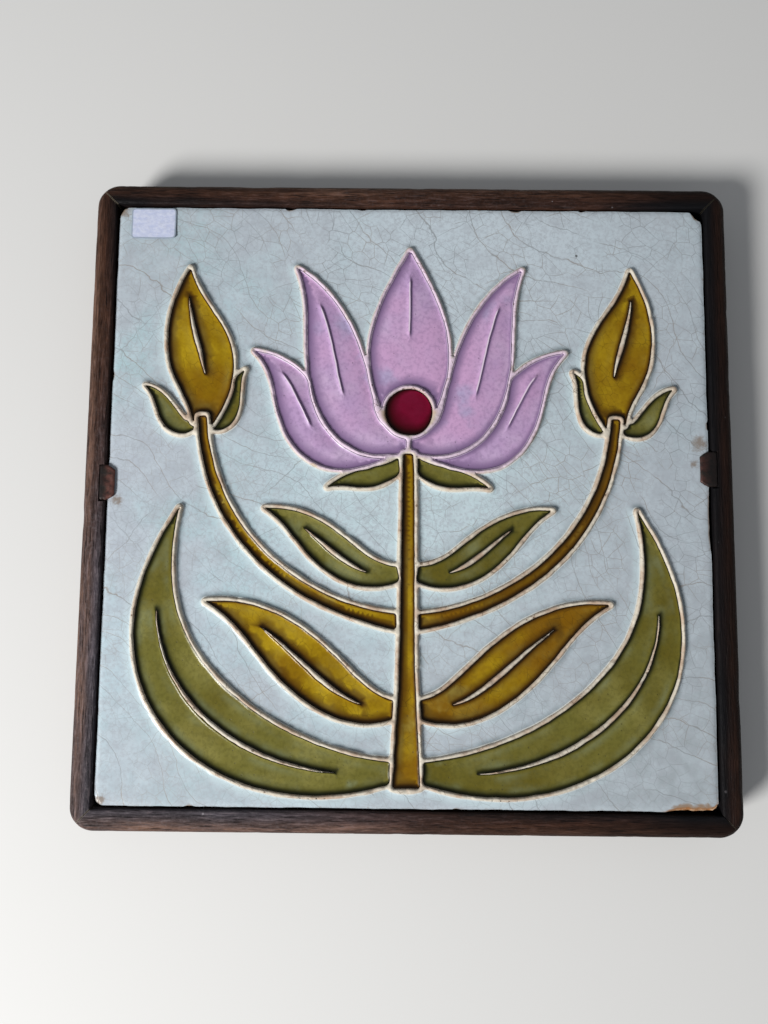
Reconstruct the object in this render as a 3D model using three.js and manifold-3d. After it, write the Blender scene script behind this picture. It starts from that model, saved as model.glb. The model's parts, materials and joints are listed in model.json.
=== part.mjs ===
// A square tile coaster: a moulded and glazed wall tile, laid on a packing card and a base board inside
// four mitred wooden rails. Two sheet-metal clips in the side rails lap over the tile and hold it down.
// Millimetres, +Z up. The origin is the middle of the underside, where the coaster rests on a table.

import * as THREE from 'three';
import { mergeVertices } from 'three/addons/utils/BufferGeometryUtils.js';
import Module from 'manifold-3d';

const wasm = await Module();
wasm.setup();

// Room left between pieces that sit inside one another
const fitGap = 0.3;

// Tile: a pressed clay body with raised ridges, and coloured glaze lying between the ridges
const tileSide = 150;
const bodyThickness = 6.4;
const glazeThickness = 0.6;
const poolThickness = 0.8;
const ridgeHeight = 1.6;
const ridgeWidth = 0.95;
const keyGrooveCount = 7;
const keyGrooveWidth = 8;
const keyGrooveDepth = 0.8;
const keyGrooveMargin = 12;

// Worn tile corners, as the length cut off along each side
const cornerWear = { topRight: 2.8, topLeft: 1, bottomLeft: 1.1, bottomRight: 1 };

// Wooden frame
const tileClearance = 0.5;
const railWidth = 5.6;
const recess = 0.8;
const cornerRadius = 6;
const topRound = 2.2;
const innerChamfer = 0.5;
const glueLine = 0.3;
const rebateWidth = 2.6;

// Base board and packing card under the tile
const boardThickness = 4;
const cardThickness = 1;

// Clips of sheet metal, one let into each side rail
const clipThickness = 0.7;
const clipWidth = 9;
const clipTipWidth = 6.4;
const clipLaps = { left: 2, right: 2.6 };
const clipLegDepth = 6;
const clipRise = 0.3;
const clipPlaces = { left: 3.2, right: 7.9 };

// Round brads and pins, each with a flat head
const bradRadius = 0.6;
const bradLength = 16;
const bradHeadRadius = 1;
const bradSetIn = 0.9;
const bradHeight = 8.5;
const bradInset = 1.7;
const boardPinRadius = 0.5;
const boardPinLength = 9;
const boardPinHeadRadius = 0.95;
const boardPinSetIn = 0.3;
const boardPinSpacing = 90;
const clipPinRadius = 0.4;
const clipPinLength = 3.2;
const clipPinHeadRadius = 0.75;
const headThickness = 0.4;

// Blank paper label stuck near one corner
const labelWidth = 11.4;
const labelDepth = 8;
const labelThickness = 0.2;
const labelMargin = { side: 3.3, top: 0.5 };

// Sizes and heights that follow from the ones above
const tileHalf = tileSide / 2;
const innerHalf = tileHalf + tileClearance;
const outerHalf = innerHalf + railWidth;
const boardHalf = innerHalf + rebateWidth - fitGap;
const cardTop = boardThickness + cardThickness;
const bodyTop = cardTop + bodyThickness;
const glazeTop = bodyTop + glazeThickness;
const ridgeTop = bodyTop + ridgeHeight;
const railHeight = glazeTop + recess;
const clipUnderside = glazeTop + clipRise;
const clipTop = clipUnderside + clipThickness;
const housingDepth = clipThickness + fitGap + headThickness;
const beyond = 2;

// Colours and finishes
const paint = (color, roughness, metalness = 0) => ({ color, roughness, metalness });
const finishes = {
  wood: paint(0x3a231c, 0.55),
  board: paint(0x8f7350, 0.8),
  card: paint(0x8d7f66, 0.9),
  clay: paint(0xd9cdb4, 0.4),
  groundGlaze: paint(0xb4c6cb, 0.2),
  lilacGlaze: paint(0xa583b4, 0.25),
  crimsonGlaze: paint(0x5d0a22, 0.15),
  amberGlaze: paint(0x7a6210, 0.15),
  oliveGlaze: paint(0x4a5124, 0.18),
  copper: paint(0x4a2a22, 0.5, 0.8),
  steel: paint(0x76736e, 0.45, 0.9),
  paper: paint(0xd8dde3, 0.85),
};

// Turns a three.js geometry into a solid that can be cut and joined.
function solidOf(geometry) {
  geometry.deleteAttribute('normal');
  geometry.deleteAttribute('uv');
  const merged = mergeVertices(geometry, 1e-4);
  return new wasm.Manifold(new wasm.Mesh({
    numProp: 3,
    vertProperties: new Float32Array(merged.attributes.position.array),
    triVerts: new Uint32Array(merged.index.array),
  }));
}

// Makes the named mesh of a solid.
function meshOf(solid, name, finish) {
  const { vertProperties, triVerts } = solid.getMesh();
  const geometry = new THREE.BufferGeometry();
  geometry.setAttribute('position', new THREE.BufferAttribute(vertProperties, 3));
  geometry.setIndex(new THREE.BufferAttribute(triVerts, 1));
  return named(geometry, name, finish);
}

function named(geometry, name, finish) {
  const material = new THREE.MeshStandardMaterial({ ...finishes[finish], flatShading: true });
  const mesh = new THREE.Mesh(geometry, material);
  mesh.name = name;
  return mesh;
}

// An upright block with the outline of a closed loop of points.
function prism(loop, zLow, zHigh) {
  const shape = new THREE.Shape(loop);
  const geometry = new THREE.ExtrudeGeometry(shape, { depth: zHigh - zLow, bevelEnabled: false });
  return solidOf(geometry.translate(0, 0, zLow));
}

function box(width, depth, height, x, y, z) {
  return solidOf(new THREE.BoxGeometry(width, depth, height).translate(x, y, z));
}

function joinAll(solids) {
  return solids.reduce((whole, solid) => whole.add(solid));
}

function cutAll(solid, cutters) {
  return cutters.reduce((rest, cutter) => rest.subtract(cutter), solid);
}

function square(half) {
  return [[-half, -half], [half, -half], [half, half], [-half, half]]
    .map(([x, y]) => new THREE.Vector2(x, y));
}

// Moves an anticlockwise outline outwards by a distance, or inwards where the distance is negative.
// A sharp point that moves outwards is rounded.
function grow(loop, distance) {
  const sharpTurn = 0.7;
  const steps = 3;
  const grown = [];
  loop.forEach((point, i) => {
    const before = loop[(i + loop.length - 1) % loop.length];
    const after = loop[(i + 1) % loop.length];
    const arriving = point.clone().sub(before).normalize();
    const leaving = after.clone().sub(point).normalize();
    const turn = Math.atan2(arriving.cross(leaving), arriving.dot(leaving));
    const outward = new THREE.Vector2(arriving.y, -arriving.x);
    const origin = new THREE.Vector2();
    if (distance > 0 && turn > sharpTurn) {
      for (let step = 0; step <= steps; step++) {
        const spoke = outward.clone().rotateAround(origin, (turn * step) / steps);
        grown.push(point.clone().addScaledVector(spoke, distance));
      }
    } else {
      const spoke = outward.clone().rotateAround(origin, turn / 2);
      grown.push(point.clone().addScaledVector(spoke, distance / Math.cos(turn / 2)));
    }
  });
  return grown;
}

// The relief is drawn in hundredths of its field, which reaches from the middle of the tile to this margin.
const reliefMargin = 5;
const reliefUnit = (tileHalf - reliefMargin) / 100;

// A blade is a leaf, petal or stem: a curved spine, swelling to a half width and narrowing to its tip.
// An inset draws the same blade that much smaller all round.
function bladeOutline(blade, inset = 0) {
  const { spine, halfWidth, fullest = 0.5, base = 0.25, tip = 0 } = blade;
  const { from = 0, to = 1, steps = 9 } = blade;
  const points = spine.map(([x, y]) => new THREE.Vector2(x, y).multiplyScalar(reliefUnit));
  const curve = new THREE.CubicBezierCurve(...points);
  const widest = halfWidth * reliefUnit;
  const start = base > 0 ? inset / curve.getLength() : 0;
  const tipNarrowing = Math.acos(Math.min(1, Math.max(0, inset / widest - tip) / (1 - tip)));
  const end = tip > 0 ? 1 - start : fullest + (1 - fullest) * tipNarrowing * (2 / Math.PI);
  const left = [];
  const right = [];
  for (let step = 0; step <= steps; step++) {
    const share = start + ((end - start) * (1 - Math.cos((Math.PI * step) / steps))) / 2;
    const along = from + (to - from) * share;
    const middle = curve.getPoint(along);
    const heading = curve.getTangent(along);
    const aside = new THREE.Vector2(-heading.y, heading.x);
    const swell = share < fullest
      ? base + (1 - base) * Math.sin((Math.PI / 2) * (share / fullest))
      : tip + (1 - tip) * Math.cos((Math.PI / 2) * ((share - fullest) / (1 - fullest)));
    const width = widest * swell - inset;
    if (width < 1e-3) {
      right.push(middle);
    } else {
      left.push(middle.clone().addScaledVector(aside, width));
      right.push(middle.clone().addScaledVector(aside, -width));
    }
  }
  return [...right, ...left.reverse()];
}

// A vein is a thin ridge along part of a blade's spine, pointed at both ends.
function veinOutline(blade, from, to) {
  return bladeOutline({ spine: blade.spine, from, to, halfWidth: 0.8, fullest: 0.4, base: 0, steps: 7 });
}

function discOutline([x, y, radius, steps], inset = 0) {
  const middle = new THREE.Vector2(x, y).multiplyScalar(reliefUnit);
  return Array.from({ length: steps }, (_, step) => {
    const spoke = new THREE.Vector2(radius * reliefUnit - inset, 0);
    return spoke.rotateAround(new THREE.Vector2(), (2 * Math.PI * step) / steps).add(middle);
  });
}

// The other half of a mirrored pair, still anticlockwise.
function mirrored(loop) {
  return loop.map(({ x, y }) => new THREE.Vector2(-x, y)).reverse();
}

// The relief: an upright water lily between two buds, on stems with blade leaves. Motifs on the centre
// line come first, then the right-hand ones of each pair. Those listed first lie in front.
const middleMotifs = [
  {
    name: 'stem', finish: 'amberGlaze',
    blade: {
      spine: [[0, -100], [0, -57], [0, -20], [0, 16]],
      halfWidth: 2.4, fullest: 0.5, base: 2, tip: 0.8, steps: 8,
    },
  },
  { name: 'flower_heart', finish: 'crimsonGlaze', disc: [0, 31, 8.5, 32] },
  {
    name: 'petal_middle', finish: 'lilacGlaze', vein: [0.5, 0.86],
    blade: {
      spine: [[0, 26], [0, 46], [0, 69], [0, 91]],
      halfWidth: 14.3, fullest: 0.4, base: 0.5, steps: 14,
    },
  },
];
const pairedMotifs = [
  {
    name: 'petal_inner', finish: 'lilacGlaze', vein: [0.42, 0.84],
    blade: {
      spine: [[0.7, 19], [34, 19], [19, 59], [41, 84]],
      halfWidth: 10.3, fullest: 0.5, base: 0.25, steps: 15,
    },
  },
  {
    name: 'petal_outer', finish: 'lilacGlaze', vein: [0.46, 0.84],
    blade: {
      spine: [[4, 19], [44, 6], [31, 41], [56, 53]],
      halfWidth: 8.9, fullest: 0.5, base: 0.3, steps: 14,
    },
  },
  {
    name: 'sepal', finish: 'oliveGlaze',
    blade: {
      spine: [[1.4, 14], [11, 4], [19, 9], [29, 3.6]],
      halfWidth: 3.4, fullest: 0.4, base: 0.5, steps: 9,
    },
  },
  {
    name: 'bud_stem', finish: 'amberGlaze',
    blade: {
      spine: [[0, -44], [31, -41], [71, -20], [74, 29]],
      halfWidth: 2, fullest: 0.3, base: 1.5, tip: 0.8, steps: 15,
    },
  },
  {
    name: 'bud', finish: 'amberGlaze', vein: [0.3, 0.84],
    blade: {
      spine: [[74, 26], [69, 49], [83, 60], [80, 84]],
      halfWidth: 11.4, fullest: 0.42, base: 0.3, steps: 14,
    },
  },
  {
    name: 'bud_leaf_inner', finish: 'oliveGlaze',
    blade: {
      spine: [[73, 26], [61, 24], [66, 39], [59, 46]],
      halfWidth: 3.3, fullest: 0.4, base: 0.4, steps: 8,
    },
  },
  {
    name: 'bud_leaf_outer', finish: 'oliveGlaze',
    blade: {
      spine: [[76, 26], [87, 21], [86, 36], [95, 40]],
      halfWidth: 3.3, fullest: 0.4, base: 0.4, steps: 8,
    },
  },
  {
    name: 'leaf_small', finish: 'oliveGlaze', vein: [0.24, 0.74],
    blade: {
      spine: [[0, -26], [23, -33], [30, -9], [51, -4]],
      halfWidth: 6.6, fullest: 0.5, base: 0.3, steps: 12,
    },
  },
  {
    name: 'leaf_upper', finish: 'amberGlaze', vein: [0.2, 0.76],
    blade: {
      spine: [[0, -73], [29, -79], [40, -43], [71, -37]],
      halfWidth: 9.4, fullest: 0.5, base: 0.2, steps: 15,
    },
  },
  {
    name: 'leaf_lower', finish: 'oliveGlaze', vein: [0.16, 0.8],
    blade: {
      spine: [[0, -94], [49, -103], [109, -71], [81, -4]],
      halfWidth: 12.3, fullest: 0.5, base: 0.2, steps: 19,
    },
  },
];

function outlineOf({ disc, blade }, inset = 0) {
  return disc ? discOutline(disc, inset) : bladeOutline(blade, inset);
}

// Each motif has its cell's outline, the outline of the glaze that lies in it, and its veins.
const motifs = [];
function addMotif(name, motif, flip) {
  motifs.push({
    name,
    finish: motif.finish,
    outline: flip(outlineOf(motif)),
    filling: flip(outlineOf(motif, fitGap)),
    veins: motif.vein ? [flip(veinOutline(motif.blade, ...motif.vein))] : [],
  });
}
middleMotifs.forEach((motif) => addMotif(motif.name, motif, (loop) => loop));
pairedMotifs.forEach((motif) => {
  addMotif(`${motif.name}_right`, motif, (loop) => loop);
  addMotif(`${motif.name}_left`, motif, mirrored);
});

// The tile's outline with its worn corners cut off
function tileOutline() {
  const { topRight, topLeft, bottomLeft, bottomRight } = cornerWear;
  return [
    [-tileHalf, -tileHalf + bottomLeft], [-tileHalf + bottomLeft, -tileHalf],
    [tileHalf - bottomRight, -tileHalf], [tileHalf, -tileHalf + bottomRight],
    [tileHalf, tileHalf - topRight], [tileHalf - topRight, tileHalf],
    [-tileHalf + topLeft, tileHalf], [-tileHalf, tileHalf - topLeft],
  ].map(([x, y]) => new THREE.Vector2(x, y));
}

// A motif's outline as a block, less the motifs in front of it with their ridges, and less its veins
function motifBlock(index, outline, gap, zLow, zHigh) {
  const inFront = motifs.slice(0, index).map((motif) => grow(motif.outline, ridgeWidth + gap));
  const veins = motifs[index].veins.map((vein) => grow(vein, gap));
  const cutters = [...inFront, ...veins].map((loop) => prism(loop, zLow - beyond, zHigh + beyond));
  return cutAll(prism(outline, zLow, zHigh), cutters);
}

// Clay body with its ridges, cells and the key grooves of its back
function tileBody() {
  const slab = prism(tileOutline(), cardTop, bodyTop);
  const pads = motifs.map(({ outline }) => prism(grow(outline, ridgeWidth), bodyTop - beyond, ridgeTop));
  const cells = motifs.map(({ outline }, index) => motifBlock(index, outline, 0, bodyTop, ridgeTop + beyond));
  const grooveSpan = tileSide - 2 * keyGrooveMargin;
  const groovePitch = (grooveSpan - keyGrooveWidth) / (keyGrooveCount - 1);
  const grooves = Array.from({ length: keyGrooveCount }, (_, index) => {
    const y = (index - (keyGrooveCount - 1) / 2) * groovePitch;
    return box(grooveSpan, keyGrooveWidth, 2 * keyGrooveDepth, 0, y, cardTop);
  });
  return cutAll(joinAll([slab, ...pads]), [...cells, ...grooves]);
}

function groundGlaze() {
  const sheet = prism(tileOutline(), bodyTop, glazeTop);
  const pads = motifs.map(({ outline }) => grow(outline, ridgeWidth + fitGap));
  return cutAll(sheet, pads.map((loop) => prism(loop, bodyTop - beyond, glazeTop + beyond)));
}

function roundedSquare(half, radius) {
  const shape = new THREE.Shape();
  const corner = half - radius;
  shape.moveTo(half, -corner);
  shape.absarc(corner, corner, radius, 0, Math.PI / 2, false);
  shape.absarc(-corner, corner, radius, Math.PI / 2, Math.PI, false);
  shape.absarc(-corner, -corner, radius, Math.PI, 1.5 * Math.PI, false);
  shape.absarc(corner, -corner, radius, 1.5 * Math.PI, 2 * Math.PI, false);
  return shape;
}

// All four rails as one ring, with the rounded outer edge, the opening for the tile and the board's rebate
function frameRing() {
  const flatTop = roundedSquare(outerHalf - topRound, cornerRadius - topRound);
  const blank = solidOf(new THREE.ExtrudeGeometry(flatTop, {
    depth: railHeight - topRound,
    bevelThickness: topRound,
    bevelSize: topRound,
    bevelSegments: 4,
    curveSegments: 6,
  }));
  const aboveTable = prism(square(outerHalf + beyond), 0, railHeight + beyond);
  const opening = prism(square(innerHalf), -beyond, railHeight + beyond);
  const rebate = prism(square(innerHalf + rebateWidth), -beyond, boardThickness);
  const chamferTop = (innerHalf + 3 * innerChamfer) * Math.SQRT2;
  const chamferBottom = (innerHalf - innerChamfer) * Math.SQRT2;
  const chamfer = new THREE.CylinderGeometry(chamferTop, chamferBottom, 4 * innerChamfer, 4);
  chamfer.rotateX(Math.PI / 2).rotateZ(Math.PI / 4).translate(0, 0, railHeight);
  return cutAll(blank.intersect(aboveTable), [opening, rebate, solidOf(chamfer)]);
}

// The wedge of plan that one rail fills, up to its mitres, turned to its side of the frame
function railSector(quarterTurns) {
  const apex = (glueLine / 2) * Math.SQRT2;
  const reach = outerHalf + beyond;
  const middle = new THREE.Vector2();
  const loop = [[apex, 0], [reach, apex - reach], [reach, reach - apex]]
    .map(([x, y]) => new THREE.Vector2(x, y).rotateAround(middle, (quarterTurns * Math.PI) / 2));
  return prism(loop, -beyond, railHeight + beyond);
}

// A brad or pin standing on its point's axis: the head's top at z = 0, the shank going down.
function bradGeometry(radius, headRadius, length) {
  const pointLength = 2 * radius;
  const profile = [
    [0, -length], [radius, pointLength - length], [radius, -headThickness],
    [headRadius, -headThickness], [headRadius, 0], [0, 0],
  ].map(([x, y]) => new THREE.Vector2(x, y));
  return mergeVertices(new THREE.LatheGeometry(profile, 8).rotateX(Math.PI / 2), 1e-4);
}

// The hole that a brad or pin is driven into, open above its head
function bradHole(radius, headRadius, length, headRoom) {
  const profile = [
    [0, -length - fitGap], [radius + fitGap, -length - fitGap], [radius + fitGap, -headThickness - fitGap],
    [headRadius + fitGap, -headThickness - fitGap], [headRadius + fitGap, headRoom], [0, headRoom],
  ].map(([x, y]) => new THREE.Vector2(x, y));
  return new THREE.LatheGeometry(profile, 8).rotateX(Math.PI / 2);
}

// Places of the fasteners. Each pose turns the geometry's +Z, where the head is, to the driving side.
const upright = { x: 0, y: 0, z: 0 };
const cornerBrads = [];
for (const [end, sideY] of [['top', 1], ['bottom', -1]]) {
  for (const [side, sideX] of [['left', -1], ['right', 1]]) {
    cornerBrads.push({
      name: `corner_brad_${end}_${side}`,
      position: [sideX * (innerHalf + bradInset), sideY * (outerHalf - bradSetIn), bradHeight],
      rotation: { ...upright, x: -sideY * (Math.PI / 2) },
    });
  }
}

const boardPins = [];
const pinLine = innerHalf + rebateWidth / 2;
for (const [side, x, y, alongX, alongY] of [
  ['left', -pinLine, 0, 0, 1], ['right', pinLine, 0, 0, 1],
  ['bottom', 0, -pinLine, 1, 0], ['top', 0, pinLine, 1, 0],
]) {
  [-1, 1].forEach((end, index) => {
    const along = (end * boardPinSpacing) / 2;
    boardPins.push({
      name: `board_pin_${side}_${index + 1}`,
      position: [x + along * alongX, y + along * alongY, boardPinSetIn],
      rotation: { ...upright, x: Math.PI },
    });
  });
}

const clipPins = [['left', -1], ['right', 1]].map(([side, sideX]) => ({
  name: `clip_pin_${side}`,
  position: [
    sideX * (innerHalf + housingDepth - clipThickness - headThickness),
    clipPlaces[side],
    clipTop - clipLegDepth / 2 - clipThickness,
  ],
  rotation: { ...upright, y: -sideX * (Math.PI / 2) },
}));

function placed(geometry, { position, rotation }) {
  const turn = new THREE.Matrix4().makeRotationFromEuler(new THREE.Euler(rotation.x, rotation.y, rotation.z));
  return geometry.applyMatrix4(turn.setPosition(...position));
}

// A clip: a leg let into the rail and a tapered tab over the tile's edge
function clipSolid(side, sideX) {
  const place = clipPlaces[side];
  const legOuter = innerHalf + housingDepth;
  const tipX = tileHalf - clipLaps[side];
  const shoulderX = tileHalf - clipLaps[side] / 3;
  const outline = [
    [tipX, -clipTipWidth / 2], [shoulderX, -clipWidth / 2], [legOuter, -clipWidth / 2],
    [legOuter, clipWidth / 2], [shoulderX, clipWidth / 2], [tipX, clipTipWidth / 2],
  ].map(([x, y]) => new THREE.Vector2(x, y + place));
  const tab = prism(sideX > 0 ? outline : mirrored(outline), clipUnderside, clipTop);
  const legX = sideX * (legOuter - clipThickness / 2);
  return tab.add(box(clipThickness, clipWidth, clipLegDepth, legX, place, clipTop - clipLegDepth / 2));
}

// The pocket in a side rail that takes a clip's leg, open at the top
function clipHousing(side, sideX) {
  const height = clipLegDepth + fitGap + beyond + railHeight - clipTop;
  const zLow = clipTop - clipLegDepth - fitGap;
  const width = clipWidth + 2 * fitGap;
  const reach = housingDepth + fitGap + beyond;
  const x = innerHalf - beyond + reach / 2;
  return box(reach, width, height, sideX * x, clipPlaces[side], zLow + height / 2);
}

const part = new THREE.Group();

// Wooden rails
const cornerHoles = cornerBrads.map((brad) => solidOf(placed(
  bradHole(bradRadius, bradHeadRadius, bradLength, bradSetIn + beyond), brad)));
const pinHoles = boardPins.map((pin) => solidOf(placed(
  bradHole(boardPinRadius, boardPinHeadRadius, boardPinLength, boardPinSetIn + beyond), pin)));
const clipHoles = clipPins.map((pin) => solidOf(placed(
  bradHole(clipPinRadius, clipPinHeadRadius, clipPinLength, fitGap), pin)));
const housings = [clipHousing('left', -1), clipHousing('right', 1)];
const ring = cutAll(frameRing(), [...cornerHoles, ...pinHoles, ...clipHoles, ...housings]);
['right', 'top', 'left', 'bottom'].forEach((side, quarterTurns) => {
  part.add(meshOf(ring.intersect(railSector(quarterTurns)), `rail_${side}`, 'wood'));
});

// Board, card, tile and glazes
part.add(meshOf(cutAll(prism(square(boardHalf), 0, boardThickness), pinHoles), 'base_board', 'board'));
part.add(meshOf(prism(square(tileHalf), boardThickness, cardTop), 'packing_card', 'card'));
part.add(meshOf(tileBody(), 'tile_body', 'clay'));
part.add(meshOf(groundGlaze(), 'ground_glaze', 'groundGlaze'));
motifs.forEach(({ name, finish, filling }, index) => {
  const pool = motifBlock(index, filling, fitGap, bodyTop, bodyTop + poolThickness);
  part.add(meshOf(pool, `glaze_${name}`, finish));
});

// Clips and their pins
[['left', -1], ['right', 1]].forEach(([side, sideX], index) => {
  const clip = clipSolid(side, sideX).subtract(clipHoles[index]);
  part.add(meshOf(clip, `clip_${side}`, 'copper'));
});

function addFasteners(places, radius, headRadius, length) {
  for (const { name, position, rotation } of places) {
    const brad = named(bradGeometry(radius, headRadius, length), name, 'steel');
    brad.position.set(...position);
    brad.rotation.set(rotation.x, rotation.y, rotation.z);
    part.add(brad);
  }
}
addFasteners(cornerBrads, bradRadius, bradHeadRadius, bradLength);
addFasteners(boardPins, boardPinRadius, boardPinHeadRadius, boardPinLength);
addFasteners(clipPins, clipPinRadius, clipPinHeadRadius, clipPinLength);

// Blank label, flat on the ground glaze
const label = named(new THREE.BoxGeometry(labelWidth, labelDepth, labelThickness), 'paper_label', 'paper');
label.position.set(
  -tileHalf + labelMargin.side + labelWidth / 2,
  tileHalf - labelMargin.top - labelDepth / 2,
  glazeTop + labelThickness / 2,
);
part.add(label);

export default part;
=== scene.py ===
# Tile coaster: a glazed relief tile held in four mitred wooden rails
import json
import math

import bmesh
import bpy
import numpy as np
from mathutils import Matrix, Vector, geometry, kdtree

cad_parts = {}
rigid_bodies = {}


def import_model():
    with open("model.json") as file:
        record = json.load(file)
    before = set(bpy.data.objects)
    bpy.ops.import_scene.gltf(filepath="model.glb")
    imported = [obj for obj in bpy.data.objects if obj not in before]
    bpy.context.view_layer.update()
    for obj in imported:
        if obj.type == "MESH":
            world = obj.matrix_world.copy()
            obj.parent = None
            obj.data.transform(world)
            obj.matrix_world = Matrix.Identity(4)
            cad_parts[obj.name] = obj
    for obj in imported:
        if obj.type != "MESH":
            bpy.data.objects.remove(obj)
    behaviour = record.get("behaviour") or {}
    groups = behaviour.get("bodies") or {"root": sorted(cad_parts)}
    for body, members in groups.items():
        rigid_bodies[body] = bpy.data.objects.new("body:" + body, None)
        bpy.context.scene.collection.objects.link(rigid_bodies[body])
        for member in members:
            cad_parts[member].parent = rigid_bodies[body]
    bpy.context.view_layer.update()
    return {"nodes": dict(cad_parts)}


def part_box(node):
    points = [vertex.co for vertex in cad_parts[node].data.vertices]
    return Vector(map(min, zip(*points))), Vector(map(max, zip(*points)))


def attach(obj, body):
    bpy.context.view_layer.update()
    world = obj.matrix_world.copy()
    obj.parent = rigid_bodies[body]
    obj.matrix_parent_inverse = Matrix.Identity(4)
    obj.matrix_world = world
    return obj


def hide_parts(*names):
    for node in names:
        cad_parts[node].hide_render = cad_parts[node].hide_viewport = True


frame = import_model()
print("frame loaded:", len(frame["nodes"]), "nodes")

mm = 0.001  # outlines are worked out in millimetres and made in metres
scene = bpy.context.scene
scene.view_settings.view_transform = "Standard"


# Camera

cameraPlace = {
    "location": (-5.39, -21.84, 202.22),
    "forward": (-0.0033, 0.0959, -0.9954),
    "up": (-0.01, 0.9953, 0.096),
    "lens": 27.07,
    "sensor": 36,
}


def addObject(name, data):
    made = bpy.data.objects.new(name, data)
    scene.collection.objects.link(made)
    return made


def addCamera(place):
    data = bpy.data.cameras.new("camera")
    data.lens = place["lens"]
    data.sensor_width = place["sensor"]
    data.clip_start = 0.01
    data.clip_end = 20
    camera = addObject("camera", data)
    back = -Vector(place["forward"]).normalized()
    side = Vector(place["up"]).cross(back).normalized()
    turn = Matrix((side, back.cross(side), back)).transposed().to_4x4()
    camera.matrix_world = Matrix.Translation(Vector(place["location"]) * mm) @ turn
    scene.camera = camera


addCamera(cameraPlace)


# Node tree helpers

class Value:
    # a node's output that can be added, multiplied and so on, each step being a math node in its own tree
    def __init__(self, socket):
        self.socket = socket

    def __getitem__(self, key):
        return Value(self.socket.node.outputs[key])

    def __add__(self, other):
        return calc("ADD", self, other)

    def __sub__(self, other):
        return calc("SUBTRACT", self, other)

    def __rsub__(self, other):
        return calc("SUBTRACT", other, self)

    def __mul__(self, other):
        return calc("MULTIPLY", self, other)

    def __truediv__(self, other):
        return calc("DIVIDE", self, other)

    def __rtruediv__(self, other):
        return calc("DIVIDE", other, self)


def treeOf(*values):
    return next(v.socket.id_data for v in values if isinstance(v, Value))


def feed(socket, value):
    if isinstance(value, Value):
        socket.id_data.links.new(value.socket, socket)
    elif socket.type == "RGBA":
        socket.default_value = (*value[:3], 1)
    else:
        socket.default_value = value


def addNode(tree, kind, inputs=None, **settings):
    # gives the node's first output, or the node itself if it has none
    node = tree.nodes.new(kind)
    for name, value in settings.items():
        setattr(node, name, value)
    for key, value in (inputs or {}).items():
        feed(node.inputs[key], value)
    return Value(node.outputs[0]) if node.outputs else node


def calc(operation, *values, clamp=False):
    # vector math if there is a vector or a triple among the values
    tree = treeOf(*values)
    inputs = dict(enumerate(values))
    if any(isinstance(v, tuple) or isinstance(v, Value) and v.socket.type == "VECTOR" for v in values):
        made = addNode(tree, "ShaderNodeVectorMath", inputs, operation=operation)
        return made["Value"] if operation == "DISTANCE" else made
    return addNode(tree, "ShaderNodeMath", inputs, operation=operation, use_clamp=clamp)


def larger(first, *others):
    for other in others:
        first = calc("MAXIMUM", first, other)
    return first


def remap(value, low, high, toLow=0.0, toHigh=1.0):
    inputs = {"Value": value, "From Min": low, "From Max": high, "To Min": toLow, "To Max": toHigh}
    return addNode(treeOf(value), "ShaderNodeMapRange", inputs, interpolation_type="SMOOTHSTEP")


def split(vector):
    made = addNode(treeOf(vector), "ShaderNodeSeparateXYZ", {0: vector})
    return [made[axis] for axis in range(3)]


def join(x, y, z):
    return addNode(treeOf(x, y, z), "ShaderNodeCombineXYZ", {0: x, 1: y, 2: z})


def newTree(kind, name, inputs, outputs):
    tree = bpy.data.node_groups.new(name, kind)
    for way, sockets in (("INPUT", inputs), ("OUTPUT", outputs)):
        for label, sort in sockets.items():
            tree.interface.new_socket(label, in_out=way, socket_type="NodeSocket" + sort)
    start = tree.nodes.new("NodeGroupInput")
    given = {label: Value(start.outputs[label]) for label in inputs}
    return tree, given, tree.nodes.new("NodeGroupOutput").inputs


# Floor, backdrop and light

studio = {
    "floorColour": (0.7, 0.7, 0.695, 1),
    "floorRoughness": 0.85,
    "floorHalf": 8.0,
    "worldColour": (0.93, 0.96, 1.0, 1),
    "worldStrength": 0.24,
    "keyPlace": (-0.61, -0.48, 0.54),
    "keySize": 0.28,
    "keyPower": 11.5,
    "keyColour": (1.0, 0.985, 0.96),
}


def addStage(look):
    half = look["floorHalf"]
    mesh = bpy.data.meshes.new("floor")
    corners = [(-half, -half, 0), (half, -half, 0), (half, half, 0), (-half, half, 0)]
    mesh.from_pydata(corners, [], [(0, 1, 2, 3)])
    floor = addObject("floor", mesh)
    material = bpy.data.materials.new("pale_floor")
    material.use_nodes = True
    shader = material.node_tree.nodes["Principled BSDF"]
    shader.inputs["Base Color"].default_value = look["floorColour"]
    shader.inputs["Roughness"].default_value = look["floorRoughness"]
    mesh.materials.append(material)

    scene.world = bpy.data.worlds.new("studio")
    scene.world.use_nodes = True
    tree = scene.world.node_tree
    tree.nodes.clear()
    inputs = {"Color": look["worldColour"], "Strength": look["worldStrength"]}
    sky = addNode(tree, "ShaderNodeBackground", inputs)
    feed(addNode(tree, "ShaderNodeOutputWorld").inputs["Surface"], sky)

    lamp = bpy.data.lights.new("key", "AREA")
    lamp.shape = "DISK"
    lamp.size = look["keySize"]
    lamp.energy = look["keyPower"]
    lamp.color = look["keyColour"]
    key = addObject("key", lamp)
    key.location = look["keyPlace"]
    key.rotation_euler = (-Vector(look["keyPlace"])).to_track_quat("-Z", "Y").to_euler()


addStage(studio)
print("camera, floor and light are up")


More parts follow.
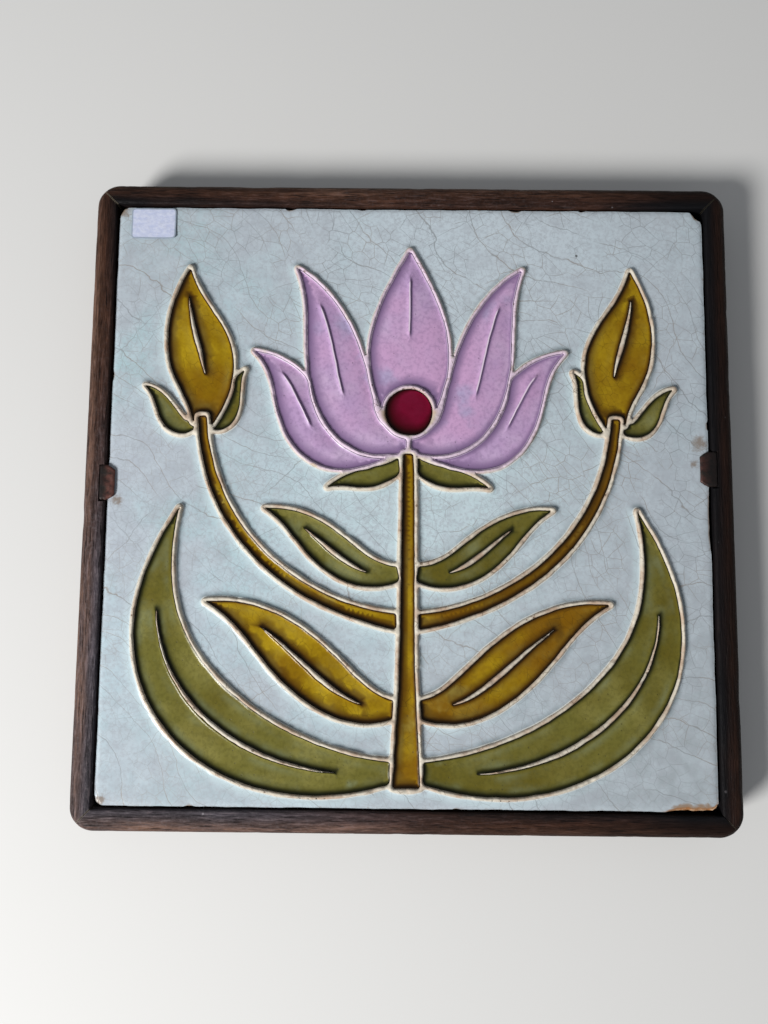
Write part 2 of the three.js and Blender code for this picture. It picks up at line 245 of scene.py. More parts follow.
# Outlines of the relief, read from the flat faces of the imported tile

relief = {
    "ridgeTop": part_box("tile_body")[1].z / mm,
    "groundTop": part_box("ground_glaze")[1].z / mm,
    "tileBottom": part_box("tile_body")[0].z / mm,
    "clayTop": 11.7,       # the clay's face under the glaze
    "spacing": 0.4,        # between points along an outline
    "edgeSpacing": 0.5,    # and along the tile's edge
    "edgeSoftening": 0.7,
    "cornerTurn": 1.25,    # radians, past which an outline keeps its corner
    "softening": 0.38,     # how far a corner is rounded
    "wander": 0.07,        # the hand-pressed ridges aren't quite true
    "swell": 0.075,        # glaze and wear widen them here and there
    "ridgeHalf": 0.55,
    "veinHalf": 0.8,
    "overlap": 0.07,       # glaze runs this far into the ridge beside it
}
noiseCells = 97
noPoints = np.zeros((0, 2))
scatter = {"cell": 0.5, "rowStep": 0.866, "jitter": 0.12, "apart": 0.55, "firstApart": 0.13}


def ripple(points, size, seed):
    # smooth seeded noise from -1 to 1, with bumps about one size across
    lattice = np.random.default_rng(seed).uniform(-1, 1, (noiseCells, noiseCells))
    place = points[:, :2] / size
    cell = np.floor(place).astype(int)
    across, up = (place - cell).T
    across, up = (share * share * (3 - 2 * share) for share in (across, up))
    (x, y), (nextX, nextY) = (cell % noiseCells).T, ((cell + 1) % noiseCells).T
    left = lattice[x, y] * (1 - up) + lattice[x, nextY] * up
    right = lattice[nextX, y] * (1 - up) + lattice[nextX, nextY] * up
    return left * (1 - across) + right * across


def faceLoops(nodeName, height):
    # closed outlines of a node's flat faces at one height, with the faces on their left
    mesh = frame["nodes"][nodeName].data
    mesh.calc_loop_triangles()
    corners = np.array([v.co for v in mesh.vertices]) / mm
    triangles = np.array([t.vertices for t in mesh.loop_triangles])
    merged, number = np.unique(np.round(corners, 3), axis=0, return_inverse=True)
    triangles = number.ravel()[triangles]
    flat = triangles[np.all(np.abs(merged[triangles][:, :, 2] - height) < 0.02, axis=1)]
    edges = {(int(t[i]), int(t[(i + 1) % 3])) for t in flat for i in range(3)}
    following = {a: b for a, b in edges if (b, a) not in edges}
    loops = []
    while following:
        loop = []
        point = next(iter(sorted(following)))
        while point in following:
            loop.append(point)
            point = following.pop(point)
        loops.append(merged[loop][:, :2])
    return loops


def areaOf(loop):
    x, y = loop[:, 0], loop[:, 1]
    return 0.5 * float(np.sum(x * np.roll(y, -1) - y * np.roll(x, -1)))


def inside(point, loop):
    x, y = loop[:, 0], loop[:, 1]
    x2, y2 = np.roll(x, -1), np.roll(y, -1)
    crosses = (y > point[1]) != (y2 > point[1])
    run = np.where(crosses, (x2 - x) * (point[1] - y) / np.where(y2 == y, 1, y2 - y) + x, -1e9)
    return int(np.sum(run > point[0])) % 2 == 1


def resampled(line, along, wanted):
    return np.stack([np.interp(wanted, along, line[:, i]) for i in range(2)], 1)


def travelled(line):
    # the way along a line at each of its points
    return np.concatenate([[0], np.cumsum(np.hypot(*np.diff(line, axis=0).T))])


def evenlySpaced(loop, spacing):
    closed = np.vstack([loop, loop[:1]])
    along = travelled(closed)
    count = max(8, int(round(along[-1] / spacing)))
    return resampled(closed, along, np.arange(count) * along[-1] / count)


def curvedLoop(loop, spacing, cornerTurn):
    # a smooth curve through the outline's points that keeps its sharp corners
    loop = loop[np.hypot(*(loop - np.roll(loop, 1, 0)).T) > 0.5 * spacing]
    chord = np.roll(loop, -1, 0) - loop
    length = np.hypot(*chord.T)
    heading = np.unwrap(np.arctan2(chord[:, 1], chord[:, 0]))
    before = np.roll(heading, 1)
    turn = (heading - before + math.pi) % (2 * math.pi) - math.pi
    share = np.roll(length, 1) / (np.roll(length, 1) + length)
    tangent = heading - turn * (1 - share)
    sharp = np.abs(turn) > cornerTurn
    leaving = np.where(sharp, heading, tangent)
    arriving = np.roll(np.where(sharp, heading - turn, tangent), -1)
    out = []
    for i, start in enumerate(loop):
        steps = max(1, int(length[i] / (0.5 * spacing)))
        t = (np.arange(steps) / steps)[:, None]
        ways = (leaving[i], arriving[i])
        pull, push = (length[i] * np.array([math.cos(way), math.sin(way)]) for way in ways)
        out.append((2 * t**3 - 3 * t**2 + 1) * start + (t**3 - 2 * t**2 + t) * pull
                   + (3 * t**2 - 2 * t**3) * (start + chord[i]) + (t**3 - t**2) * push)
    return evenlySpaced(np.vstack(out), spacing)


def softened(loop, reach, spacing):
    # rounds the corners a little, as pressed clay and glaze do
    width = int(3 * reach / spacing) + 1
    weights = np.exp(-0.5 * (np.arange(-width, width + 1) * spacing / reach) ** 2)
    weights /= weights.sum()
    return sum(w * np.roll(loop, -shift, 0) for w, shift in zip(weights, range(-width, width + 1)))


def wandered(loop, amount):
    shift = [ripple(loop, 3.1, seed) + 0.45 * ripple(loop, 0.9, seed + 1) for seed in (11, 23)]
    return loop + amount * np.stack(shift, 1)


def leftNormals(loop):
    along = np.roll(loop, -1, 0) - np.roll(loop, 1, 0)
    along /= np.maximum(np.hypot(*along.T), 1e-9)[:, None]
    return np.stack([-along[:, 1], along[:, 0]], 1)


def ringEdges(loops):
    # each point's number with the next one's, for outlines whose points follow one another
    edges = []
    for loop in loops:
        count, first = len(loop), len(edges)
        edges += [(first + i, first + (i + 1) % count) for i in range(count)]
    return edges


def widened(loop, swell):
    # the ridge beside the outline made wider, leaving out points that would pass through another stretch
    swell = swell * (1 + 0.8 * ripple(loop, 3.1, 9))
    moved = loop - leftNormals(loop) * swell[:, None]
    apart, _ = nearest(moved, [loop])
    return moved[apart > 0.95 * swell]


def nearest(points, loops):
    # distance from each point to the nearest outline, and the direction away from it
    ends = np.vstack(loops)
    after = np.vstack([np.roll(loop, -1, 0) for loop in loops])
    before = np.vstack([np.roll(loop, 1, 0) for loop in loops])
    tree = kdtree.KDTree(len(ends))
    for index, (x, y) in enumerate(ends):
        tree.insert((x, y, 0), index)
    tree.balance()
    found = np.array([tree.find((x, y, 0))[1] for x, y in points])
    best = np.full(len(points), 1e9)
    away = np.zeros((len(points), 2))
    for other in (after, before):
        start = ends[found]
        side = other[found] - start
        share = np.sum((points - start) * side, 1) / np.maximum(np.sum(side * side, 1), 1e-12)
        gap = points - (start + np.clip(share, 0, 1)[:, None] * side)
        length = np.hypot(*gap.T)
        closer = length < best
        best[closer] = length[closer]
        away[closer] = gap[closer] / np.maximum(length[closer], 1e-9)[:, None]
    return best, away


def fillPoints(loops, rings, gridStep, gridFrom, seed, first=()):
    # points between the outlines: rows that follow them, then an even scatter further in.
    # Each row is (distance from the outline, take every nth point). Points given as first are all wanted.
    chosen = []
    taken = {}

    def take(points, gap):
        for x, y in points:
            key = (int(x // scatter["cell"]), int(y // scatter["cell"]))
            reach = 1 + int(gap // scatter["cell"])
            close = (p for i in range(-reach, reach + 1) for j in range(-reach, reach + 1)
                     for p in taken.get((key[0] + i, key[1] + j), ()))
            if all((p[0] - x) ** 2 + (p[1] - y) ** 2 > gap * gap for p in close):
                taken.setdefault(key, []).append((x, y))
                chosen.append((x, y))

    spacing = relief["spacing"]
    previous = 0
    for row in first:
        take(row, scatter["firstApart"])
    for distance, stride in rings:
        row = np.vstack([(loop + distance * leftNormals(loop))[::stride] for loop in loops])
        gap, _ = nearest(row, loops)
        take(row[gap > 0.94 * distance], min(0.62 * spacing * stride, 0.8 * (distance - previous)))
        previous = distance
    if gridStep:
        everything = np.vstack(loops)
        low, high = everything.min(0), everything.max(0)
        columns = np.arange(low[0], high[0], gridStep)
        lines = np.arange(low[1], high[1], gridStep * scatter["rowStep"])
        grid = np.array([(x + 0.5 * gridStep * (j % 2), y) for j, y in enumerate(lines) for x in columns])
        jitter = scatter["jitter"]
        grid += np.random.default_rng(seed).uniform(-jitter, jitter, grid.shape) * gridStep
        gap, _ = nearest(grid, loops)
        take(grid[gap > gridFrom], scatter["apart"] * gridStep)
    return np.array(chosen).reshape(-1, 2)


def triangulated(loops, extra, creases=()):
    # triangles of the area on the left of the outlines, with edges along the creases and the extra points
    points = np.vstack([*loops, *creases, extra])
    edges = ringEdges([*loops, *creases])
    made = geometry.delaunay_2d_cdt([Vector(p) for p in points], edges, [], 0, 1e-7, False)
    where, faces = np.array([tuple(p) for p in made[0]]), made[2]
    if len(where) != len(points) or np.abs(where - points).max() > 1e-4:
        raise RuntimeError("outlines cross each other")
    edges = ringEdges(loops)
    border = set(edges)
    faces = [tuple(f) for f in faces]
    a, b, c = (where[[f[i] for f in faces]] for i in range(3))
    turned = (b[:, 0] - a[:, 0]) * (c[:, 1] - a[:, 1]) - (b[:, 1] - a[:, 1]) * (c[:, 0] - a[:, 0]) < 0
    faces = [(f[0], f[2], f[1]) if flip else f for f, flip in zip(faces, turned)]
    owner = {(f[i], f[(i + 1) % 3]): index for index, f in enumerate(faces) for i in range(3)}
    keep = [False] * len(faces)
    queue = [owner[edge] for edge in edges if edge in owner]
    while queue:
        index = queue.pop()
        if keep[index]:
            continue
        keep[index] = True
        for i in range(3):
            edge = (faces[index][i], faces[index][(i + 1) % 3])
            beside = owner.get((edge[1], edge[0]))
            if edge not in border and beside is not None and not keep[beside]:
                queue.append(beside)
    faces = [f for f, kept in zip(faces, keep) if kept]
    used = np.zeros(len(points), bool)
    used[np.array(faces).ravel()] = True
    number = np.cumsum(used) - 1
    return points[used], [tuple(int(number[i]) for i in f) for f in faces]


def shadeSmooth(mesh, sharpAngle):
    mesh.polygons.foreach_set("use_smooth", [True] * len(mesh.polygons))
    mesh.set_sharp_from_angle(angle=math.radians(sharpAngle))


def makePiece(name, points, faces, attributes=None, sharpAngle=50):
    mesh = bpy.data.meshes.new(name)
    mesh.from_pydata((np.asarray(points) * mm).tolist(), [], faces)
    shadeSmooth(mesh, sharpAngle)
    for key, values in (attributes or {}).items():
        layer = mesh.attributes.new(key, "FLOAT", "POINT")
        layer.data.foreach_set("value", np.asarray(values, np.float32))
    return addObject(name, mesh)


def closedSheet(name, loops, extra, topOf, bottom, attributesOf):
    # a sheet of glaze: shaped top, upright edge and flat underside
    points, top = triangulated(loops, extra)
    edges = ringEdges(loops)
    rim = len(edges)
    _, under = triangulated(loops, noPoints)
    upper = np.column_stack([points, topOf(points)])
    lower = np.column_stack([points[:rim], np.full(rim, bottom)])
    count = len(upper)
    faces = top + [tuple(count + i for i in reversed(f)) for f in under]
    faces += [(b, a, count + a, count + b) for a, b in edges]
    values = {key: np.concatenate([v, v[:rim]]) for key, v in attributesOf(points).items()}
    return makePiece(name, np.vstack([upper, lower]), faces, values)


# Tile edge: nearly straight, with worn corners and a few chips

edgeWear = {
    "wander": 0.09,
    "inset": 0.12,
    "roughReach": 0.55,
    "roughDepth": 0.5,
    # where a chip is, how far it reaches each way, and how deep the glaze and the clay are broken
    "chips": [
        ((68.4, -75.0), 6.0, 1.15, 0.4),
        ((74.7, -74.2), 1.3, 0.7, 0.35),
        ((-74.4, 74.2), 1.8, 0.5, 0.3),
        ((-74.6, -74.2), 1.6, 0.35, 0.2),
        ((73.6, 73.9), 1.7, 0.5, 0.2),
        ((75.0, -4.5), 8.5, 0.42, 0.2),
        ((75.0, 19.0), 1.2, 0.4, 0.2),
        ((-75.0, 30.5), 1.3, 0.3, 0.1),
        ((-31.0, 75.0), 1.3, 0.42, 0.2),
        ((-12.5, 75.0), 0.9, 0.3, 0.1),
        ((27.0, 75.0), 1.6, 0.45, 0.2),
        ((44.0, 75.0), 0.8, 0.35, 0.1),
        ((-52.0, -75.0), 1.2, 0.35, 0.15),
        ((12.0, -75.0), 0.9, 0.3, 0.1),
    ],
}


def tileEdge(layer):
    # outline of the glaze (layer 0) or of the clay (layer 1)
    outline = max(faceLoops("ground_glaze", relief["groundTop"]), key=areaOf)
    spacing = relief["edgeSpacing"]
    loop = softened(evenlySpaced(outline, spacing), relief["edgeSoftening"], spacing)
    inward = leftNormals(loop)
    depth = edgeWear["inset"] + edgeWear["wander"] * (ripple(loop, 5.3, 5) + 0.5 * ripple(loop, 1.3, 6))
    for place, reach, glazeDepth, clayDepth in edgeWear["chips"]:
        share = np.hypot(*(loop - np.array(place)).T) / reach
        bite = np.clip(1 - share**2, 0, 1) ** 0.6 * (0.8 + 0.35 * ripple(loop, 0.9, 8))
        depth += (glazeDepth, clayDepth)[layer] * bite
    return loop + inward * np.maximum(depth, 0.02)[:, None]


def chipShare(points):
    # 1 in the middle of a chip, 0 away from them all
    share = np.zeros(len(points))
    for place, reach, depth, _ in edgeWear["chips"]:
        near = np.clip(1.6 - np.hypot(*(points - np.array(place)).T) / reach, 0, 1)
        share = np.maximum(share, near * min(1, 0.2 + depth))
    return share


print("reading the relief's outlines")
ridgeLoops = []
for raw in faceLoops("tile_body", relief["ridgeTop"]):
    loop = curvedLoop(raw, relief["spacing"], relief["cornerTurn"])
    loop = softened(loop, relief["softening"], relief["spacing"])
    ridgeLoops.append(widened(wandered(loop, relief["wander"]), relief["swell"]))
cells = [loop for loop in ridgeLoops if areaOf(loop) < 0]
pads = [loop for loop in ridgeLoops if areaOf(loop) > 0]
veins = [pad for pad in pads if any(inside(pad[0], cell) for cell in cells)]
outerPads = [pad for pad in pads if not any(inside(pad[0], cell) for cell in cells)]
glazeEdge = tileEdge(0)
clayEdge = tileEdge(1)
print("outlines:", len(outerPads), "pads,", len(cells), "cells,", len(veins), "veins")


def centreLine(loop, count=48):
    # the middle of a thin outline, from tip to tip
    apart = np.hypot(*(loop[:, None, :] - loop[None, :, :]).transpose(2, 0, 1))
    start, end = sorted(int(i) for i in np.unravel_index(np.argmax(apart), apart.shape))
    there = loop[start:end + 1]
    back = np.vstack([loop[end:], loop[:start + 1]])[::-1]
    sides = []
    for side in (there, back):
        along = travelled(side)
        sides.append(resampled(side, along, np.linspace(0, along[-1], count)))
    return (sides[0] + sides[1]) / 2


def fromLines(points, lines):
    # distance from each point to the nearest line, the way that leads off it, and the distance to a tip
    if not lines:
        far = np.full(len(points), 1e3)
        return far, np.zeros((len(points), 2)), far
    distance, away = nearest(points, [np.vstack([line, line[-2:0:-1]]) for line in lines])
    tips = np.vstack([line[[0, -1]] for line in lines])
    toTip = np.min(np.hypot(*(points[:, None, :] - tips[None, :, :]).transpose(2, 0, 1)), axis=1)
    return distance, away, toTip


veinLines = [centreLine(vein) for vein in veins]


# Clay body with its ridges

keyedBack = {"count": 7, "width": 8, "length": 126, "pitch": 19.67, "depth": 0.8, "slope": 0.5}
tileSides = {"levels": (11.2, 9.6, 8.0, 6.4), "footRise": 0.5, "footInset": 0.37, "inset": 0.04,
             "bulge": 0.07}
# a slow drop along the ridges, dents as (depth, size, seed), places rubbed flat, and what lilac glaze covers
ridgeWear = {"slow": 0.07, "dents": [(0.12, 0.9, 32), (0.1, 0.45, 33)], "rubbed": 0.25, "covered": 0.5}
veinEnd = {"height": 0.3, "run": 3.2}


def ridgeRise(points, distance):
    # rounded ridge, a little uneven and worn along its top. A vein runs out into the glaze at both tips,
    # and lies lower where lilac glaze covers it.
    fromMiddle, _, toTip = fromLines(points, veinLines)
    onVein = fromMiddle < relief["veinHalf"]
    share = np.clip(distance / relief["ridgeHalf"], 0, 1)
    share = np.where(onVein, distance / (distance + fromMiddle + 1e-6), share)
    rise = np.sqrt(np.maximum(0, 1 - (1 - share) ** 2))
    uneven = 1 - ridgeWear["slow"] * (1 + ripple(points, 4.1, 31))
    for depth, size, seed in ridgeWear["dents"]:
        uneven -= depth * np.maximum(0, ripple(points, size, seed))
    uneven -= ridgeWear["rubbed"] * np.clip(3 * ripple(points, 2.6, 34) - 1.9, 0, 1)
    run = veinEnd["height"] + (1 - veinEnd["height"]) * np.clip(toTip / veinEnd["run"], 0, 1) ** 0.7
    petals = [line for vein, line in zip(veins, veinLines) if inLilac(vein)]
    lower = np.where(fromLines(points, petals)[0] < relief["veinHalf"], ridgeWear["covered"], 1.0)
    full = relief["ridgeTop"] - relief["clayTop"]
    return full * rise * uneven * np.where(onVein, run * lower, 1.0)


def lilacCells():
    return [cell for name, cell in namedCells.items() if glazeKind(name) == "lilac"]


def inLilac(loop):
    return any(inside(loop[0], cell) for cell in lilacCells())


def nearLilac(points):
    # how much of the lilac glaze covers the ridge beside the petals
    distance, _ = nearest(points, lilacCells())
    return np.clip(1.5 - distance / 0.8, 0, 1)


def glazeKind(name):
    kinds = {"petal": "lilac", "heart": "crimson", "stem": "amber", "leaf_upper": "amber"}
    for word, kind in kinds.items():
        if word in name:
            return kind
    return "amber" if name in ("glaze_bud_left", "glaze_bud_right") else "olive"


def nameCells():
    # each cell takes the name of the glaze node that lies in it
    named = {}
    for name in frame["nodes"]:
        if name.startswith("glaze_"):
            loops = faceLoops(name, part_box(name)[1].z / mm)
            markers = max(loops, key=areaOf)[::3]
            named[name] = max(cells, key=lambda cell: sum(inside(marker, cell) for marker in markers))
    return named


namedCells = nameCells()


def tileBody():
    rows = fillPoints(ridgeLoops, [(0.09, 1), (0.24, 1), (0.42, 1)], None, 0, 3)
    outlined = sum(len(loop) for loop in ridgeLoops)
    rows = triangulated(ridgeLoops, rows)[0][outlined:]
    edgeRows = ((0.3, 1), (0.7, 1), (1.3, 2), (2.2, 4))
    nearEdge = [(clayEdge + d * leftNormals(clayEdge))[::n] for d, n in edgeRows]
    points, top = triangulated([clayEdge], np.vstack([rows, *nearEdge]), ridgeLoops)
    rim = len(clayEdge)
    ridgePart = slice(rim + outlined, rim + outlined + len(rows))
    distance, _ = nearest(points, ridgeLoops)
    fromEdge, _ = nearest(points, [clayEdge])
    heights = np.full(len(points), relief["clayTop"])
    heights[ridgePart] += ridgeRise(points[ridgePart], distance[ridgePart])
    rough = 0.5 + 0.35 * ripple(points, 0.9, 41) + 0.2 * ripple(points, 0.4, 42)
    near = np.exp(-fromEdge / edgeWear["roughReach"])
    heights -= chipShare(points) * near * rough * edgeWear["roughDepth"]

    # the sides and the keyed back
    s, ribs = tileSides, keyedBack
    bottom = relief["tileBottom"]
    walls = []
    for level in (*s["levels"], bottom + s["footRise"], bottom):
        inset = s["footInset"] if level == bottom else s["inset"]
        bulge = s["bulge"] * ripple(clayEdge + level, 2.3, 43) - inset
        outline = clayEdge - leftNormals(clayEdge) * bulge[:, None]
        walls.append(np.column_stack([outline, np.full(rim, level)]))
    grooveLoops, grooveDepths = [], []
    for index in range(ribs["count"]):
        y = (index - (ribs["count"] - 1) / 2) * ribs["pitch"]
        for inset, depth in ((0, 0), (ribs["slope"], ribs["depth"])):
            x, h = ribs["length"] / 2 - inset, ribs["width"] / 2 - inset
            grooveLoops.append(np.array([(-x, y - h), (-x, y + h), (x, y + h), (x, y - h)]))
            grooveDepths += [depth] * 4
    backPoints, backFaces = triangulated([walls[-1][:, :2]], noPoints, grooveLoops)
    backHeights = bottom + np.concatenate([np.zeros(rim), grooveDepths])

    pieces = [np.column_stack([points, heights]), *walls[:-1], np.column_stack([backPoints, backHeights])]
    starts = np.cumsum([0] + [len(p) for p in pieces]).tolist()
    faces = list(top)
    for upper, lower in zip([0, *starts[1:-2]], starts[1:-1]):
        faces += [(upper + b, upper + a, lower + a, lower + b) for a, b in ringEdges([clayEdge])]
    faces += [tuple(starts[-2] + i for i in reversed(f)) for f in backFaces]
    everything = np.vstack(pieces)
    rest = len(everything) - len(points)
    values = {
        "side": np.concatenate([distance * 0, np.ones(rest)]),
        "lilac": np.concatenate([nearLilac(points), np.zeros(rest)]),
        "rise": np.concatenate([heights - relief["clayTop"], np.zeros(rest)]),
    }
    return makePiece("tile_body", everything, faces, values, 60)


tileBodyPiece = tileBody()
print("tile body:", len(tileBodyPiece.data.polygons), "faces")


# Glazes: the pale ground round the relief, and a pool of colour in each cell

# how high each glaze lies, how far it is drawn up at the ridges, and how much fuller its middle is
glazeShape = {
    "ground": {"level": 11.97, "meniscus": 0.26, "reach": 0.22, "dome": 0, "domeReach": 1, "wave": 0.05},
    "lilac": {"level": 12.0, "meniscus": 0.6, "reach": 0.22, "dome": 0.66, "domeReach": 2.2, "wave": 0.06},
    "crimson": {"level": 12.05, "meniscus": 0.3, "reach": 0.3, "dome": 0.25, "domeReach": 2.5, "wave": 0.02},
    "amber": {"level": 12.0, "meniscus": 0.42, "reach": 0.35, "dome": 0.1, "domeReach": 2.4, "wave": 0.05},
    "olive": {"level": 12.0, "meniscus": 0.4, "reach": 0.35, "dome": 0.12, "domeReach": 2.4, "wave": 0.05},
}
groundRim = {"drop": 0.2, "reach": 0.45}
coveredVein = {"width": 0.48, "steeper": 0.24, "rise": 0.5}
glazeRows = [(0.14, 1), (0.34, 1), (0.7, 2), (1.25, 3)]
veinRows = (0.15, 0.32, 0.52, 0.8, 1.25, 1.9)
shadowWay = np.array([0.7, 0.7])  # the way the painted shadows fall, away from the key lamp at the lower left


def runInto(loop):
    return loop - relief["overlap"] * leftNormals(loop)


def glazeSurface(points, distance, shape, pull=1.0):
    # drawn up beside the ridges, fuller further in, with a slow wave
    heights = shape["level"] + shape["meniscus"] * np.exp(-distance / shape["reach"]) * pull
    heights += shape["dome"] * (1 - np.exp(-distance / shape["domeReach"]))
    return heights + shape["wave"] * (ripple(points, 7.7, 51) + 0.3 * ripple(points, 2.1, 52))


def groundGlaze():
    shores = [pad[::-1] for pad in outerPads]
    rows = fillPoints([glazeEdge, *shores], glazeRows, 1.6, 1.5, 7)

    def topOf(points):
        distance, _ = nearest(points, shores)
        fromEdge, _ = nearest(points, [glazeEdge])
        heights = glazeSurface(points, distance, glazeShape["ground"])
        drop = groundRim["drop"] * np.exp(-(fromEdge / groundRim["reach"]) ** 2)
        return heights - drop * (1 - 0.6 * chipShare(points))

    def attributesOf(points):
        distance, away = nearest(points, shores)
        fromEdge, _ = nearest(points, [glazeEdge])
        return {"edge": distance, "rim": fromEdge, "broken": chipShare(points), "lean": away @ shadowWay}

    loops = [glazeEdge, *[runInto(shore) for shore in shores]]
    return closedSheet("ground_glaze", loops, rows, topOf, relief["clayTop"], attributesOf)


def pool(name, cell, seed):
    # a lilac pool lies over its veins, and the thinner glazes leave theirs bare
    kind = glazeKind(name)
    own = [(vein, line) for vein, line in zip(veins, veinLines) if inside(vein[0], cell)]
    covered = [line for _, line in own] if kind == "lilac" else []
    bare = [] if kind == "lilac" else own
    shores = [cell[::-1]] + [vein[::-1] for vein, _ in bare]
    first = []
    for line in covered:
        aside = np.gradient(line, axis=0)
        aside = np.stack([-aside[:, 1], aside[:, 0]], 1) / np.hypot(*aside.T)[:, None]
        first += [line]
        for d in veinRows:
            first += [line - d * aside, line + d * aside]
    rows = fillPoints(shores, glazeRows, 1.5, 1.5, seed, first)

    def veinShape(points):
        # height over a covered vein, gentle on one side and steep on the side away from the lamp, with a
        # painted shadow beside it on that side
        distance, away, toTip = fromLines(points, covered)
        veinShadow = np.clip(0.5 + 1.6 * (away @ shadowWay), 0, 1)
        width = coveredVein["width"] - coveredVein["steeper"] * veinShadow
        crest = np.exp(-(distance / width) ** 2) * np.clip(toTip / 2.0, 0, 1) ** 0.8
        shade = 0.9 * np.exp(-((distance - 0.42) / 0.3) ** 2) + 0.65 * np.exp(-distance / 1.0)
        return crest, veinShadow * shade * (distance > 0.1) * np.clip(toTip / 1.6, 0, 1)

    def topOf(points):
        distance, _ = nearest(points, shores)
        toTip = fromLines(points, [line for _, line in bare])[2]
        heights = glazeSurface(points, distance, glazeShape[kind], np.clip(toTip / 3.5, 0.1, 1))
        heights += coveredVein["rise"] * veinShape(points)[0]
        return np.minimum(heights, relief["ridgeTop"] - 0.02)

    def attributesOf(points):
        distance, away = nearest(points, shores)
        crest, shade = veinShape(points)
        return {"edge": distance, "lean": away @ shadowWay, "crest": crest, "veinShadow": shade}

    loops = [runInto(shores[0]), *shores[1:]]
    return closedSheet(name, loops, rows, topOf, relief["clayTop"], attributesOf)


groundPiece = groundGlaze()
print("ground glaze:", len(groundPiece.data.polygons), "faces")
pools = {name: pool(name, cell, 60 + i) for i, (name, cell) in enumerate(sorted(namedCells.items()))}
print("coloured glazes:", sum(len(p.data.polygons) for p in pools.values()), "faces in", len(pools))

# Geometry node helpers

def newGeometryTree(name, sockets):
    mesh = {"Geometry": "Geometry"}
    tree, given, out = newTree("GeometryNodeTree", name, {**mesh, **sockets}, mesh)
    return tree, given, out["Geometry"]


def storeValue(mesh, name, value, kind="FLOAT"):
    inputs = {"Geometry": mesh, "Name": name, "Value": value}
    return addNode(treeOf(mesh), "GeometryNodeStoreNamedAttribute", inputs, data_type=kind, domain="POINT")


def setPlace(mesh, inputName, vector):
    return addNode(treeOf(mesh), "GeometryNodeSetPosition", {"Geometry": mesh, inputName: vector})


def finishTree(mesh, material, end):
    tree = treeOf(mesh)
    mesh = addNode(tree, "GeometryNodeRealizeInstances", {"Geometry": mesh})
    feed(end, addNode(tree, "GeometryNodeSetMaterial", {"Geometry": mesh, "Material": material}))


def evaluated(carrier, modifier, sharpAngle):
    # the carrier's mesh with its modifier applied, shaded smooth but for its sharp edges
    made = bpy.data.meshes.new_from_object(carrier.evaluated_get(bpy.context.evaluated_depsgraph_get()))
    carrier.modifiers.remove(modifier)
    shadeSmooth(made, sharpAngle)
    return made


def runTree(tree, name, mesh, values, sharpAngle=40):
    # evaluates the tree once on a carrier and keeps the result as a plain mesh
    carrier = addObject(name + "_carrier", mesh)
    modifier = carrier.modifiers.new("nodes", "NODES")
    modifier.node_group = tree
    for item in tree.interface.items_tree:
        if item.in_out == "INPUT" and item.name in values:
            modifier[item.identifier] = values[item.name]
    made = evaluated(carrier, modifier, sharpAngle)
    bpy.data.objects.remove(carrier)
    made.name = name
    return addObject(name, made)


def rounded(corners, radii, steps):
    # a closed outline with its corners rounded
    points = []
    for i, corner in enumerate(corners):
        corner = Vector(corner)
        radius = radii[i]
        if not radius:
            points.append(corner)
            continue
        before = (Vector(corners[i - 1]) - corner).normalized()
        after = (Vector(corners[(i + 1) % len(corners)]) - corner).normalized()
        half = before.angle(after) / 2
        middle = corner + (before + after).normalized() * radius / math.sin(half)
        reach = radius / math.tan(half)
        start, end = ((corner + way * reach - middle).normalized() for way in (before, after))
        points += [middle + radius * start.slerp(end, step / steps) for step in range(steps + 1)]
    return points


def alongEdges(points, spacing):
    # more points on the long edges of a closed outline
    out = []
    for i, start in enumerate(points):
        end = points[(i + 1) % len(points)]
        steps = max(1, int(round((end - start).length / spacing)))
        out += [start.lerp(end, step / steps) for step in range(steps)]
    return out


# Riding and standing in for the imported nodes

def standFor(piece, slot, *nodes):
    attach(piece, "root")
    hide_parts(*nodes)


# Wooden rails: one profile swept along each side, closed to the mitres and rounded at the corners

railShape = {
    "outer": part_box("rail_top")[1].y / mm,
    "inner": 75.5,
    "top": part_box("rail_top")[1].z / mm,
    "rebateTop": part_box("base_board")[1].z / mm,
    "rebateOuter": 78.1,
    "topRound": 2.3,
    "innerRound": 0.55,
    "footRound": 0.5,
    "rebateRound": 0.15,
    "profileStep": 0.45,
    "cornerRadius": 6.0,
    "rows": 420,
    "gap": 0.07,
    "wear": 0.22,
    "notchRoom": 0.06,
}


def notchFor(side, turn):
    # where a clip crosses the rail, along the rail's own X
    if "clip_" + side not in frame["nodes"]:
        return {}
    low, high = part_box("clip_" + side)
    room = railShape["notchRoom"] * mm
    return {"Notch Place": (low.y + high.y) / 2 * math.sin(turn), "Notch Half": (high.y - low.y) / 2 + room,
            "Notch Outer": max(abs(low.x), abs(high.x)) + room, "Notch Floor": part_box("ground_glaze")[1].z}


def railProfile():
    r = railShape
    corners = [(r["outer"], 0, 0), (r["outer"], r["top"], 0), (r["inner"], r["top"], 0),
               (r["inner"], r["rebateTop"], 0), (r["rebateOuter"], r["rebateTop"], 0),
               (r["rebateOuter"], 0, 0)]
    radii = [r["footRound"], r["topRound"], r["innerRound"], r["rebateRound"], 0, r["rebateRound"]]
    points = alongEdges(rounded(corners, radii, 6), r["profileStep"])
    curve = bpy.data.curves.new("rail_profile", "CURVE")
    curve.dimensions = "3D"
    line = curve.splines.new("POLY")
    line.points.add(len(points) - 1)
    for point, place in zip(line.points, points):
        point.co = (-place.x * mm, -place.y * mm, 0, 1)
    line.use_cyclic_u = True
    return addObject("rail_profile", curve)


